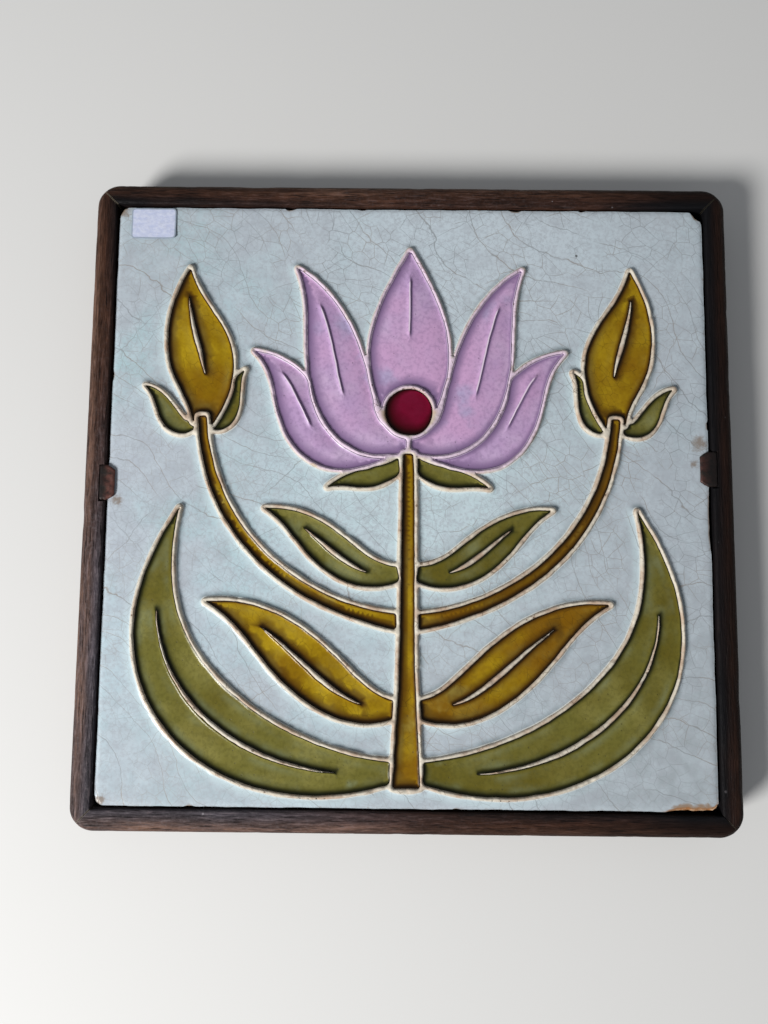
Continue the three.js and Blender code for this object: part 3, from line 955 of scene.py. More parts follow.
def railTree():
    floats = ("Outer", "Width", "Height", "Radius", "Gap", "Wear", "Turn", "Seed",
              "Notch Place", "Notch Half", "Notch Outer", "Notch Floor")
    sockets = {"Profile": "Object", "Rows": "Int", "Material": "Material", **dict.fromkeys(floats, "Float")}
    tree, given, end = newGeometryTree("mitred_rail", sockets)
    outer, seed = given["Outer"], given["Seed"]
    inputs = {"Start": join(outer * -1.0, 0.0, 0.0), "End": join(outer, 0.0, 0.0)}
    line = addNode(tree, "GeometryNodeCurvePrimitiveLine", inputs)
    path = addNode(tree, "GeometryNodeResampleCurve", {"Curve": line, "Count": given["Rows"]})
    profile = addNode(tree, "GeometryNodeObjectInfo", {"Object": given["Profile"]})["Geometry"]
    inputs = {"Curve": path, "Profile Curve": profile, "Fill Caps": True}
    mesh = addNode(tree, "GeometryNodeCurveToMesh", inputs)
    place = addNode(tree, "GeometryNodeInputPosition")
    x, y, z = split(place)

    # each lengthwise line ends on the mitre, after a rounded corner that tightens towards the inside
    inset = (outer - y) / given["Width"]
    radius = larger(given["Radius"] * (1.0 - inset * 1.1), 0.00002)
    centre = y - radius
    share = x / outer
    run = calc("ABSOLUTE", share) * (centre + radius * (math.pi / 4))
    angle = larger(run - centre, 0.0) / radius
    reach = (calc("MINIMUM", run, centre) + radius * calc("SINE", angle)) * (1.0 - given["Gap"] / outer)
    bent = join(reach * calc("SIGN", share), centre + radius * calc("COSINE", angle), z)
    mesh = setPlace(mesh, "Position", bent)

    # the notch that a clip is let into
    beside = calc("ABSOLUTE", x - given["Notch Place"])
    notched = calc("LESS_THAN", beside, given["Notch Half"]) * calc("LESS_THAN", y, given["Notch Outer"])
    drop = calc("MINIMUM", given["Notch Floor"] - z, 0.0)
    mesh = setPlace(mesh, "Offset", join(0.0, 0.0, drop * notched))

    # marks for the finish: rubbed outer arris, distance from the mitre, inner face and place in the grain
    arris = remap(given["Height"] - z + (outer - y), 0.0035, 0.0008)
    toMitre = (y - calc("ABSOLUTE", x)) * (0.7071 / mm)
    inner = remap(y - outer + given["Width"], 0.003, 0.0006)
    for name, value in {"arris": arris, "mitre": toMitre, "inner": inner}.items():
        mesh = storeValue(mesh, name, value)
    mesh = storeValue(mesh, "grain", place + join(seed * 0.37, 0.0, seed), "FLOAT_VECTOR")

    # dents and rubbing, deepest on the arris and at the mitres
    fine = {"Vector": place, "W": seed, "Scale": 900.0, "Detail": 2.0}
    broad = {"Vector": place, "W": seed, "Scale": 130.0, "Detail": 3.0}
    small, large = (addNode(tree, "ShaderNodeTexNoise", n, noise_dimensions="4D") for n in (fine, broad))
    worn = remap(large, 0.48, 0.75) * (arris * 0.8 + 0.1)
    depth = worn + remap(toMitre, 1.2, 0.0, 0.0, 0.3) + small * 0.12
    push = depth * given["Wear"] * -1.0 * remap(z, 0.0002, 0.002)
    normal = addNode(tree, "GeometryNodeInputNormal")["Normal"]
    mesh = setPlace(mesh, "Offset", normal * join(0.0, push, push))

    inputs = {"Geometry": mesh, "Rotation": join(0.0, 0.0, given["Turn"])}
    finishTree(addNode(tree, "GeometryNodeTransform", inputs), given["Material"], end)
    return tree


# Brads and pins: one turned brad, set at each place with a slight turn and lean of its own

bradShapes = {
    "corner_brads": {"axis": 1, "outward": True, "shank": 0.6, "head": 1.0, "length": 16.0},
    "board_pins": {"axis": 2, "outward": False, "shank": 0.5, "head": 0.95, "length": 9.0},
    "clip_pins": {"axis": 0, "outward": False, "shank": 0.4, "head": 0.75, "length": 3.2},
}
bradLean = 0.02


def bradMesh(shape, material, steps=14):
    # the head's top is at the origin and the point is below it
    shank, head, length = shape["shank"], shape["head"], shape["length"]
    rings = [(0.55 * head, -0.02), (0.88 * head, -0.07), (head, -0.17), (0.97 * head, -0.33),
             (1.15 * shank, -0.4), (shank, -0.6), (shank, 2 * shank - length),
             (0.45 * shank, 0.8 * shank - length)]
    turns = [2 * math.pi * i / steps for i in range(steps)]
    points = [(0, 0, 0), *((r * math.cos(turn), r * math.sin(turn), z) for r, z in rings for turn in turns),
              (0, 0, -length)]
    starts = [1 + steps * i for i in range(len(rings))]
    faces = []
    for i in range(steps):
        j = (i + 1) % steps
        faces.append((0, starts[0] + i, starts[0] + j))
        faces += [(lower + i, lower + j, upper + j, upper + i) for upper, lower in zip(starts, starts[1:])]
        faces.append((starts[-1] + j, starts[-1] + i, len(points) - 1))
    mesh = bpy.data.meshes.new("brad")
    mesh.from_pydata([tuple(c * mm for c in p) for p in points], [], faces)
    mesh.materials.append(material)
    return mesh


def bradTree():
    sockets = {"Brad": "Object", "Lean": "Float", "Seed": "Int", "Material": "Material"}
    tree, given, end = newGeometryTree("set_brads", sockets)
    brad = addNode(tree, "GeometryNodeObjectInfo", {"Object": given["Brad"]})["Geometry"]
    facing = addNode(tree, "GeometryNodeInputNamedAttribute", {"Name": "facing"}, data_type="FLOAT_VECTOR")
    aligned = addNode(tree, "FunctionNodeAlignRotationToVector", {"Vector": facing}, axis="Z")
    lean = given["Lean"]
    back = lean * -1.0
    inputs = {0: join(back, back, -math.pi), 1: join(lean, lean, math.pi), "Seed": given["Seed"]}
    spin = addNode(tree, "FunctionNodeRandomValue", inputs, data_type="FLOAT_VECTOR")
    inputs = {"Rotation": aligned, "Rotate By": spin}
    turned = addNode(tree, "FunctionNodeRotateRotation", inputs, rotation_space="LOCAL")
    inputs = {"Points": given["Geometry"], "Instance": brad, "Rotation": turned}
    finishTree(addNode(tree, "GeometryNodeInstanceOnPoints", inputs), given["Material"], end)
    return tree


def addBrads(tree, name, shape, material, seed):
    # a head faces away from the part's middle if the shape says outward, and else towards it or down
    found = sorted(n for n in frame["nodes"] if n.startswith(name[:-1] + "_"))
    axis = shape["axis"]
    points, facings = [], []
    for node in found:
        low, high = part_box(node)
        place = (low + high) / 2
        far = (place[axis] > 0) == shape["outward"]
        place[axis] = high[axis] if far else low[axis]
        points.append(place)
        facings += [(1 if far else -1) if i == axis else 0 for i in range(3)]
    mesh = bpy.data.meshes.new(name + "_places")
    mesh.from_pydata(points, [], [])
    mesh.attributes.new("facing", "FLOAT_VECTOR", "POINT").data.foreach_set("vector", facings)
    brad = addObject(name + "_one", bradMesh(shape, material))
    piece = runTree(tree, name, mesh, {"Brad": brad, "Lean": bradLean, "Seed": seed, "Material": material})
    bpy.data.objects.remove(brad)
    standFor(piece, "steel", *found)


# Clips: bent strips of sheet metal let into the side rails

clipShape = {
    "tipDrop": 0.26,
    "bends": [1.0, 1.2, 0.8],
    "bendSteps": 5,
    "step": 0.3,
    "thickness": 0.6,
    "width": 8.8,
    "tipWidth": 6.2,
    "shoulder": 1.9,
    "columns": 26,
    "bow": 0.1,
    "dent": 0.035,
    "grit": 0.012,
    "thinFrom": 0.86,      # share of the half width where the sheet's edge gets thinner
    "wornFrom": 0.84,      # and where its finish is worn
    "tipReach": 0.45,
    "tipWorn": 0.6,
}


def clipLine(low, high):
    # path of the sheet's middle, from the tip on the glaze to the foot of the leg
    c = clipShape
    tipX, legX = sorted(abs(x) for x in (low.x, high.x))
    legX -= c["thickness"] / 2 + 0.05
    level = high.z - c["thickness"] / 2 - 0.07
    path = [(tipX + 0.1, level - c["tipDrop"]), (tipX + 1.3, level - 0.7 * c["tipDrop"]),
            (tipX + 2.8, level), (legX, level), (legX, low.z + 0.3)]
    corners = [Vector((x, 0, z)) for x, z in path]
    bends = [corners[0]]
    for i in range(1, len(corners) - 1):
        ways = [corners[j] - corners[i] for j in (i - 1, i + 1)]
        reach = min(c["bends"][i - 1], 0.45 * min(way.length for way in ways))
        before, after = (way.normalized() * reach for way in ways)
        for step in range(c["bendSteps"] + 1):
            t = step / c["bendSteps"]
            bends.append(corners[i] + before * (1 - t) ** 2 + after * t**2)
    bends.append(corners[-1])
    line = [bends[0]]
    for a, b in zip(bends, bends[1:]):
        steps = max(1, int((b - a).length / c["step"]))
        line += [a.lerp(b, step / steps) for step in range(1, steps + 1)]
    return line


def clipPiece(name, sideX, seed):
    c = clipShape
    low, high = (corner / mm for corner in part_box(name))
    line = clipLine(low, high)
    columns = c["columns"]
    rng = np.random.default_rng(seed)
    upper, lower, worn = [], [], []
    travel = 0
    for i, place in enumerate(line):
        ahead = line[min(i + 1, len(line) - 1)] - line[max(i - 1, 0)]
        normal = Vector((-ahead.z, 0, ahead.x)).normalized()
        if i:
            travel += (place - line[i - 1]).length
        narrow = min(1, travel / c["shoulder"])
        width = c["tipWidth"] + (c["width"] - c["tipWidth"]) * narrow**0.8
        for j in range(columns + 1):
            t = -1 + 2 * j / columns
            across = math.copysign(abs(t) ** 0.85, t)
            y = across * width / 2 + 0.05 * math.sin(7 * travel + seed)
            edge = max(0, abs(t) - c["thinFrom"]) / (1 - c["thinFrom"])
            tip = max(0, 1 - travel / c["tipReach"])
            thin = 1 - 0.75 * max(edge**2, tip**2)
            bow = c["bow"] * (1 - t * t) * max(0, 1 - travel / 4) - 0.12 * edge**2
            dent = c["dent"] * math.sin(2.3 * y + seed) * math.sin(1.7 * travel + 2 * seed)
            middle = place + normal * (bow + dent + c["grit"] * rng.uniform(-1, 1))
            rubbed = max((abs(t) - c["wornFrom"]) / (1 - c["wornFrom"]), 1 - travel / c["tipWorn"], 0)
            worn.append(min(1, rubbed))
            for row, way in ((upper, 1), (lower, -1)):
                p = middle + normal * way * thin * c["thickness"] / 2
                row.append((sideX * p.x, y + (low.y + high.y) / 2, p.z))
    count = len(upper)
    wide = columns + 1
    last = len(line) - 1
    faces = []
    for i in range(last):
        for j in range(columns):
            a = i * wide + j
            quad = (a, a + 1, a + wide + 1, a + wide)
            faces += [quad, tuple(count + k for k in reversed(quad))]
    border = [*range(columns), *range(columns, last * wide + columns, wide),
              *range(last * wide + columns, last * wide, -1), *range(last * wide, 0, -wide)]
    faces += [(b, a, count + a, count + b) for a, b in zip(border, border[1:] + border[:1])]
    if sideX > 0:
        faces = [tuple(reversed(f)) for f in faces]
    return makePiece(name, upper + lower, faces, {"edge": worn + worn}, 45)


# Paper label: a blank sticker with one corner lifting

labelShape = {"corner": 0.9, "lift": 0.35, "liftReach": 3.5, "thickness": 0.11, "grid": 0.4, "wobble": 0.03,
              "above": 0.08}


def labelPiece():
    low, high = (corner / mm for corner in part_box("paper_label"))
    corners = [(low.x, low.y, 0), (high.x, low.y, 0), (high.x, high.y, 0), (low.x, high.y, 0)]
    outline = rounded(corners, [labelShape["corner"]] * 4, 5)
    loop = np.array([p[:2] for p in alongEdges(outline, labelShape["grid"])])
    loop += labelShape["wobble"] * np.stack([ripple(loop, 0.7, 71), ripple(loop, 0.7, 72)], 1)
    rows = fillPoints([loop], [(0.2, 1)], labelShape["grid"], 0.35, 73)
    points, top = triangulated([loop], rows)
    toCorner = np.hypot(*(points - np.array([high.x, low.y])).T)
    bend = labelShape["lift"] * np.clip(1 - toCorner / labelShape["liftReach"], 0, 1) ** 2
    bend += labelShape["wobble"] * (1 + ripple(points, 3.0, 74))
    base = relief["groundTop"] + labelShape["above"] + bend
    count = len(points)
    upper = np.column_stack([points, base + labelShape["thickness"]])
    lower = np.column_stack([points, base])
    faces = top + [tuple(count + i for i in reversed(f)) for f in top]
    faces += [(b, a, count + a, count + b) for a, b in ringEdges([loop])]
    edge, _ = nearest(points, [loop])
    values = {"edge": np.concatenate([edge, edge])}
    return makePiece("paper_label", np.vstack([upper, lower]), faces, values)


# Board and card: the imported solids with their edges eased

def easedCopy(node, width, steps=2):
    merged = bmesh.new()
    merged.from_mesh(frame["nodes"][node].data)
    bmesh.ops.remove_doubles(merged, verts=merged.verts, dist=1e-6)
    bmesh.ops.dissolve_limit(merged, angle_limit=0.01, verts=merged.verts, edges=merged.edges)
    mesh = bpy.data.meshes.new(node)
    merged.to_mesh(mesh)
    merged.free()
    piece = addObject(node, mesh)
    bevel = piece.modifiers.new("eased", "BEVEL")
    bevel.width = width * mm
    bevel.segments = steps
    bevel.limit_method = "ANGLE"
    piece.data = evaluated(piece, bevel, 15)
    piece.data.name = node
    piece.data.materials.clear()
    return piece


# Finishes: shader node helpers and the groups that several materials share

def mix(share, first, second):
    tree = treeOf(share, first, second)
    return addNode(tree, "ShaderNodeMix", {0: share, 6: first, 7: second}, data_type="RGBA")[2]


def noiseOf(vector, scale, detail=3.0, roughness=0.5):
    inputs = {"Vector": vector, "Scale": scale, "Detail": detail, "Roughness": roughness}
    return addNode(treeOf(vector), "ShaderNodeTexNoise", inputs)


def shiftBy(vector, scale, detail, amount):
    # a sideways shift that follows a noise
    return (noiseOf(vector, scale, detail)["Color"] - (0.5, 0.5, 0.5)) * join(amount, amount, 0.0)


def turned(vector, angle):
    inputs = {"Vector": vector, "Angle": angle}
    return addNode(treeOf(vector), "ShaderNodeVectorRotate", inputs, rotation_type="Z_AXIS")


def shaderGroup(name, numbers, outputs, colours=()):
    inputs = {**dict.fromkeys(colours, "Color"), "Vector": "Vector", **dict.fromkeys(numbers, "Float")}
    return newTree("ShaderNodeTree", name, inputs, outputs)


def cloudGroup():
    # soft patches: 0 below Low of the noise and 1 above High
    tree, given, out = shaderGroup("soft_patches", ("Scale", "Low", "High"), {"Value": "Float"})
    noise = noiseOf(given["Vector"], given["Scale"], 4.0, 0.55)
    feed(out["Value"], remap(noise, given["Low"], given["High"]))
    return tree


def crazingGroup():
    # a net of fine cracks that bend, run longer one way and fade in places
    numbers = ("Scale", "Width", "Bend", "Slant", "Stretch", "Fade")
    tree, given, out = shaderGroup("crazing", numbers, {"Line": "Float"})
    vector, scale, fade = given["Vector"], given["Scale"], given["Fade"]
    place = vector + shiftBy(vector, scale * 0.22, 2.0, given["Bend"])
    drawn = turned(place, given["Slant"]) * join(given["Stretch"], 1.0, 0.0)
    settings = {"voronoi_dimensions": "2D", "feature": "DISTANCE_TO_EDGE"}
    cell = addNode(tree, "ShaderNodeTexVoronoi", {"Vector": drawn, "Scale": scale}, **settings)
    line = remap(cell["Distance"], given["Width"] * scale, 0.0)
    feed(out["Line"], line * remap(noiseOf(vector, scale * 0.3, 2.0), fade, fade + 0.14))
    return tree


def longCrackGroup():
    # long fine cracks side by side, that curve together and come and go
    numbers = ("Spacing", "Width", "Bend", "Slant", "Fade")
    tree, given, out = shaderGroup("long_cracks", numbers, {"Line": "Float"})
    vector, spacing, fade = given["Vector"], given["Spacing"], given["Fade"]
    per = 1.0 / spacing
    place = vector + shiftBy(vector, per * 0.13, 1.0, given["Bend"])
    place += shiftBy(vector, per * 1.7, 3.0, spacing * 0.3)
    drawn = turned(place, given["Slant"])
    apart = calc("PINGPONG", split(drawn)[1] * per, 0.5) * spacing
    shown = remap(noiseOf(drawn * (0.3, 1.0, 1.0), per * 0.7, 2.0), fade, fade + 0.1)
    feed(out["Line"], remap(apart, given["Width"], 0.0) * shown)
    return tree


def speckGroup():
    # small spots, a share of them shown
    tree, given, out = shaderGroup("specks", ("Scale", "Size", "Share"), {"Mask": "Float"})
    vector, scale = given["Vector"], given["Scale"]
    ragged = noiseOf(vector, 3500.0, 2.0, 0.6)["Color"] - (0.5, 0.5, 0.5)
    place = vector + ragged * (0.0002, 0.0002, 0.0002)
    cell = addNode(tree, "ShaderNodeTexVoronoi", {"Vector": place, "Scale": scale})
    odds = split(cell["Color"])
    size = given["Size"] * scale * odds[1]
    spot = remap(cell["Distance"], size, size * 0.55)
    feed(out["Mask"], spot * calc("LESS_THAN", odds[0], given["Share"]))
    return tree


def fibreGroup():
    # wood or paper fibres that run along the vector's X
    outputs = {"Streak": "Float", "Pore": "Float", "Band": "Float"}
    tree, given, out = shaderGroup("fibres", ("Scale", "Stretch"), outputs)
    scale = given["Scale"]
    drawn = given["Vector"] * join(given["Stretch"], 1.0, 1.0)
    feed(out["Streak"], remap(noiseOf(drawn, scale, 5.0, 0.65), 0.3, 0.7))
    feed(out["Pore"], remap(noiseOf(drawn, scale * 2.6, 2.0), 0.58, 0.7))
    feed(out["Band"], remap(noiseOf(drawn, scale * 0.22, 2.0), 0.36, 0.64))
    return tree


def dirtGroup():
    # dirt that has settled where the mask is, in uneven patches
    outputs = {"Color": "Color", "Amount": "Float"}
    tree, given, out = shaderGroup("settled_dirt", ("Scale", "Mask"), outputs, ("Color", "Dirt"))
    level = 1.02 - given["Mask"]
    amount = remap(noiseOf(given["Vector"], given["Scale"], 5.0, 0.68), level - 0.16, level + 0.24)
    feed(out["Color"], mix(amount, given["Color"], given["Dirt"]))
    feed(out["Amount"], amount)
    return tree


softPatches = cloudGroup()
crazing = crazingGroup()
longCrazing = longCrackGroup()
specks = speckGroup()
fibres = fibreGroup()
settledDirt = dirtGroup()


def useGroup(group, vector, **inputs):
    return addNode(treeOf(vector), "ShaderNodeGroup", {"Vector": vector, **inputs}, node_tree=group)


def patches(place, scale, low=0.35, high=0.65):
    return useGroup(softPatches, place, Scale=scale, Low=low, High=high)


def specksOf(place, scale, size, share):
    return useGroup(specks, place, Scale=scale, Size=size * mm, Share=share)


def byDistance(place, spot, start, end=0.0, amount=1.0):
    # nothing at the first distance from the spot and the whole amount at the second
    return remap(calc("DISTANCE", place, spot), start, end, 0.0, amount)


def mottled(colour, place, look, rows):
    for scale, low, high, amount, name in rows:
        colour = mix(patches(place, scale, low, high) * amount, colour, look[name])
    return colour


def marks(place, *names, out="Fac"):
    tree = treeOf(place)
    return [addNode(tree, "ShaderNodeAttribute", attribute_name=name)[out] for name in names]


def newMaterial(name):
    # gives the material and the place on the object
    material = bpy.data.materials.new(name)
    material.use_nodes = True
    return material, addNode(material.node_tree, "ShaderNodeTexCoord")["Object"]


def finished(material, colour, rough, height, depth, specular=0.5, metallic=0.0):
    # the depth of the bump is in millimetres
    inputs = {"Height": height, "Distance": depth * mm, "Strength": 1.0}
    bump = addNode(treeOf(height), "ShaderNodeBump", inputs)
    shader = material.node_tree.nodes["Principled BSDF"].inputs
    for label, value in {"Base Color": colour, "Roughness": rough, "Normal": bump, "Metallic": metallic,
                         "Specular IOR Level": specular}.items():
        feed(shader[label], value)
    return material


# The one break that still looks fresh, seen in the glaze and in the clay
freshBreak = {"spot": (0.072, -0.075, 0.012), "start": 0.012, "end": 0.03}


# Pale blue glaze of the ground

groundLook = {
    "pale": (0.485, 0.61, 0.68),
    "turquoise": (0.43, 0.60, 0.65),
    "greyLilac": (0.46, 0.495, 0.56),
    "grey": (0.41, 0.463, 0.51),
    "paintedShade": (0.33, 0.375, 0.40),
    "mottle": (0.395, 0.43, 0.475),
    "thin": (0.57, 0.655, 0.72),
    "pooled": (0.12, 0.165, 0.18),
    "paintedLight": (0.56, 0.70, 0.75),
    "lip": (0.69, 0.70, 0.66),
    "crackColour": (0.20, 0.215, 0.225),
    "brownCrack": (0.24, 0.19, 0.15),
    "stain": (0.27, 0.165, 0.09),
    "grime": (0.22, 0.165, 0.125),
    "clay": (0.30, 0.16, 0.08),
    "pinhole": (0.06, 0.06, 0.06),
    "roughness": 0.18,
    # scale, low and high of the noise, amount and colour
    "clouds": [(34.0, 0.38, 0.6, 0.85, "greyLilac")],
    "mottling": [(170.0, 0.46, 0.66, 0.4, "mottle"), (260.0, 0.35, 0.65, 0.35, "thin"),
                 (1300.0, 0.42, 0.66, 0.5, "mottle")],
    # painted light and shade that even out how the lamp lights the ground, lighter at the top and in the
    # middle and darker at the lower-right and upper-left corners: spot, where it starts and where it is
    # full, amount and colour
    "tints": [((0.018, 0.072, 0.012), 0.075, 0.01, 0.8, "thin"),
              ((0.004, 0.002, 0.012), 0.06, 0.005, 0.85, "paintedLight"),
              ((0.075, -0.068, 0.012), 0.075, 0.0, 0.75, "paintedShade"),
              ((-0.066, 0.062, 0.012), 0.05, 0.0, 0.3, "paintedShade")],
    "stains": [((-0.0725, -0.0012, 0.012), 0.0036), ((0.0727, 0.0145, 0.012), 0.0055),
               ((0.0712, 0.0092, 0.012), 0.0026), ((-0.0735, 0.0735, 0.012), 0.0035),
               ((-0.0735, -0.0735, 0.012), 0.003)],
    "stainAmount": 0.72,
}
longCracks = {"Spacing": 0.0056, "Width": 0.00016, "Bend": 0.05, "Slant": 0.72, "Fade": 0.42}
crossCracks = {"Spacing": 0.0082, "Width": 0.00013, "Bend": 0.04, "Slant": -0.62, "Fade": 0.5}
shortCracks = {"Scale": 320.0, "Width": 0.00008, "Bend": 0.006, "Slant": 0.75, "Stretch": 0.7, "Fade": 0.38}
fineNet = {"Scale": 640.0, "Width": 0.00007, "Bend": 0.003, "Slant": 0.3, "Stretch": 0.8, "Fade": 0.36}


def groundMaterial():
    look = groundLook
    material, place = newMaterial("glaze_pale_blue")
    edge, rim, broken, lean = marks(place, "edge", "rim", "broken", "lean")
    x, y = split(place)[:2]
    colour = mix(patches(place, 45.0), look["pale"], look["turquoise"])
    colour = mottled(colour, place, look, look["clouds"])
    # the glaze is greyer and darker towards the right and towards the bottom
    leaning = x + y * 0.1 + noiseOf(place, 22.0, 2.0) * 0.06
    colour = mix(remap(leaning, -0.05, 0.1, 0.0, 0.8), colour, look["grey"])
    colour = mix(remap(y, -0.025, -0.085, 0.0, 0.6), colour, look["grey"])
    # painted light and shade at the listed spots
    for spot, start, end, amount, name in look["tints"]:
        colour = mix(byDistance(place, spot, start, end, amount), colour, look[name])
    colour = mottled(colour, place, look, look["mottling"])

    # glaze pooled darker beside the ridges, plus a painted shadow that grows where lean is high, on the side
    # away from the lamp
    pooled = remap(edge, 1.7, 0.2, 0.0, 0.5) * patches(place, 120.0, 0.3, 0.62)
    colour = mix(pooled * remap(lean, -1.0, 1.0, 0.35, 1.25), colour, look["pooled"])
    # painted light on the side of the ridges that faces the lamp, where lean is low
    colour = mix(remap(edge, 2.6, 0.9) * remap(lean, 0.1, -0.9, 0.0, 0.5), colour, look["paintedLight"])
    colour = mix(remap(edge, 0.28, 0.06, 0.0, 0.75), colour, look["lip"])

    closer = remap(y + x * 0.8, -0.05, 0.06, 0.42, 0.76)
    nets = [(longCrazing, longCracks, 0.68), (longCrazing, crossCracks, 0.58),
            (crazing, shortCracks, closer), (crazing, fineNet, 0.32)]
    cracks = larger(*(useGroup(group, place, **net) * amount for group, net, amount in nets))
    inCracks = mix(patches(place, 60.0, 0.42, 0.62), look["crackColour"], look["brownCrack"])
    colour = mix(cracks, colour, inCracks)
    pinholes = specksOf(place, 95.0, 0.4, 0.11)
    colour = mix(pinholes * 0.8, colour, look["pinhole"])
    colour = mix(specksOf(place, 420.0, 0.2, 0.12) * 0.35, colour, look["stain"])

    # worn, stained rim and the clay that shows where the glaze is broken
    stains = [byDistance(place, spot, reach, 0.0, look["stainAmount"]) for spot, reach in look["stains"]]
    byChip = remap(broken, 0.6, 0.9) * remap(rim, 2.4, 0.2, 0.0, 0.8)
    dirty = larger(remap(rim, 1.5, 0.0, 0.0, 0.4), *stains, byChip)
    old = byDistance(place, **freshBreak)
    stain = mix(old, look["stain"], look["grime"])
    stained = useGroup(settledDirt, place, Color=colour, Dirt=stain, Scale=900.0, Mask=dirty)
    colour = mix(0.8, colour, stained["Color"])
    bare = remap(rim, 0.42, 0.1) * remap(broken, 0.35, 0.75)
    colour = mix(bare, colour, mix(old, look["clay"], look["grime"]))

    rough = cracks * 0.35 + look["roughness"] + patches(place, 150.0) * 0.08 + larger(bare, pinholes) * 0.4
    height = noiseOf(place, 330.0, 2.0) * 0.8 - cracks * 0.3 - pinholes * 1.5
    return finished(material, colour, rough, height, 0.06, 0.3)


# Clay body: glazed, dirty ridges on top and bare fired clay at the sides and back

clayLook = {
    "bare": (0.50, 0.37, 0.24),
    "bareDark": (0.30, 0.21, 0.14),
    "ridge": (0.62, 0.57, 0.48),
    "ridgeWarm": (0.47, 0.35, 0.26),
    "ridgePink": (0.66, 0.53, 0.65),
    "dirt": (0.17, 0.11, 0.07),
    "broken": (0.33, 0.15, 0.06),
    "brokenPale": (0.47, 0.30, 0.18),
    "aged": (0.30, 0.25, 0.20),
}
ridgeCracks = {"Scale": 520.0, "Width": 0.00009, "Bend": 0.001, "Slant": 0.2, "Stretch": 0.9, "Fade": 0.52}


def clayMaterial():
    look = clayLook
    material, place = newMaterial("fired_clay")
    rise, lilac, side = marks(place, "rise", "lilac", "side")
    ridge = mix(patches(place, 170.0, 0.4, 0.66), look["ridge"], look["ridgeWarm"])
    ridge = mix(lilac * patches(place, 210.0, 0.26, 0.4), ridge, look["ridgePink"])
    low = remap(rise, 0.95, 0.35, 0.36, 0.5)
    dirty = useGroup(settledDirt, place, Color=ridge, Dirt=look["dirt"], Scale=900.0, Mask=low)
    ridge = mix(0.72, ridge, dirty["Color"])
    cracks = useGroup(crazing, place, **ridgeCracks) * 0.8
    ridge = mix(cracks, ridge, look["dirt"])
    spots = specksOf(place, 620.0, 0.5, 0.3)
    ridge = mix(spots * 0.75, ridge, look["dirt"])

    fracture = mix(patches(place, 900.0, 0.45, 0.6), look["broken"], look["brokenPale"])
    fracture = mix(byDistance(place, **freshBreak, amount=0.85), fracture, look["aged"])
    bare = mix(patches(place, 90.0), look["bare"], look["bareDark"])
    bare = mix(specksOf(place, 800.0, 0.4, 0.3) * 0.5, bare, look["brokenPale"])
    colour = mix(remap(rise, 0.22, 0.05), ridge, fracture)
    colour = mix(side, colour, bare)
    rough = larger(dirty["Amount"] * 0.25 + 0.5, side * 0.85)
    height = noiseOf(place, 1500.0, 4.0) - (spots + cracks)
    return finished(material, colour, rough, height, 0.07, 0.25)


# Coloured glazes: thin and light over the middle of a cell, deep and dark along its shores

glazeLooks = {
    "lilac": {
        "light": (0.60, 0.45, 0.66), "body": (0.49, 0.33, 0.56), "deep": (0.215, 0.135, 0.27),
        "dark": (0.10, 0.055, 0.14), "patch": (0.42, 0.37, 0.58), "tint": (0.58, 0.35, 0.58),
        "speck": (0.10, 0.07, 0.12), "crest": (0.82, 0.71, 0.83),
        "patchLow": 0.57, "grain": 0.3, "speckShare": 0.5, "deepReach": 0.95, "darkReach": 0.1,
        "leanMore": 0.92, "roughness": 0.3, "specular": 0.4, "rimLight": 0.85,
    },
    "crimson": {
        "light": (0.205, 0.003, 0.026), "body": (0.155, 0.002, 0.019), "deep": (0.045, 0.001, 0.004),
        "dark": (0.010, 0.001, 0.001), "patch": (0.17, 0.006, 0.03), "tint": (0.15, 0.002, 0.02),
        "speck": (0.3, 0.12, 0.12), "crest": (0.4, 0.2, 0.2),
        "patchLow": 0.6, "grain": 0.1, "speckShare": 0.04, "deepReach": 1.3, "darkReach": 0.5,
        "leanMore": 0.93, "roughness": 0.16, "specular": 0.14, "crackStrength": 0.15,
    },
    "amber": {
        "light": (0.43, 0.29, 0.010), "body": (0.26, 0.155, 0.003), "deep": (0.08, 0.034, 0.002),
        "dark": (0.014, 0.007, 0.002), "patch": (0.38, 0.31, 0.07), "tint": (0.20, 0.095, 0.003),
        "speck": (0.08, 0.04, 0.01), "crest": (0.4, 0.3, 0.1),
        "patchLow": 0.64, "grain": 0.16, "speckShare": 0.2, "deepReach": 0.95, "darkReach": 0.36,
        "leanMore": 0.85, "roughness": 0.17, "specular": 0.16, "crackStrength": 0.5, "border": 0.25,
    },
    "olive": {
        "light": (0.225, 0.205, 0.055), "body": (0.15, 0.138, 0.028), "deep": (0.065, 0.062, 0.012),
        "dark": (0.009, 0.010, 0.003), "patch": (0.24, 0.29, 0.18), "tint": (0.115, 0.095, 0.012),
        "speck": (0.035, 0.03, 0.01), "crest": (0.3, 0.3, 0.1),
        "patchLow": 0.66, "grain": 0.3, "speckShare": 0.75, "deepReach": 0.62, "darkReach": 0.36,
        "leanMore": 0.95, "roughness": 0.19, "specular": 0.18, "crackStrength": 0.22, "border": 0.35,
    },
}
poolCracks = {"Scale": 640.0, "Width": 0.00006, "Bend": 0.002, "Slant": 0.9, "Stretch": 0.55, "Fade": 0.45}


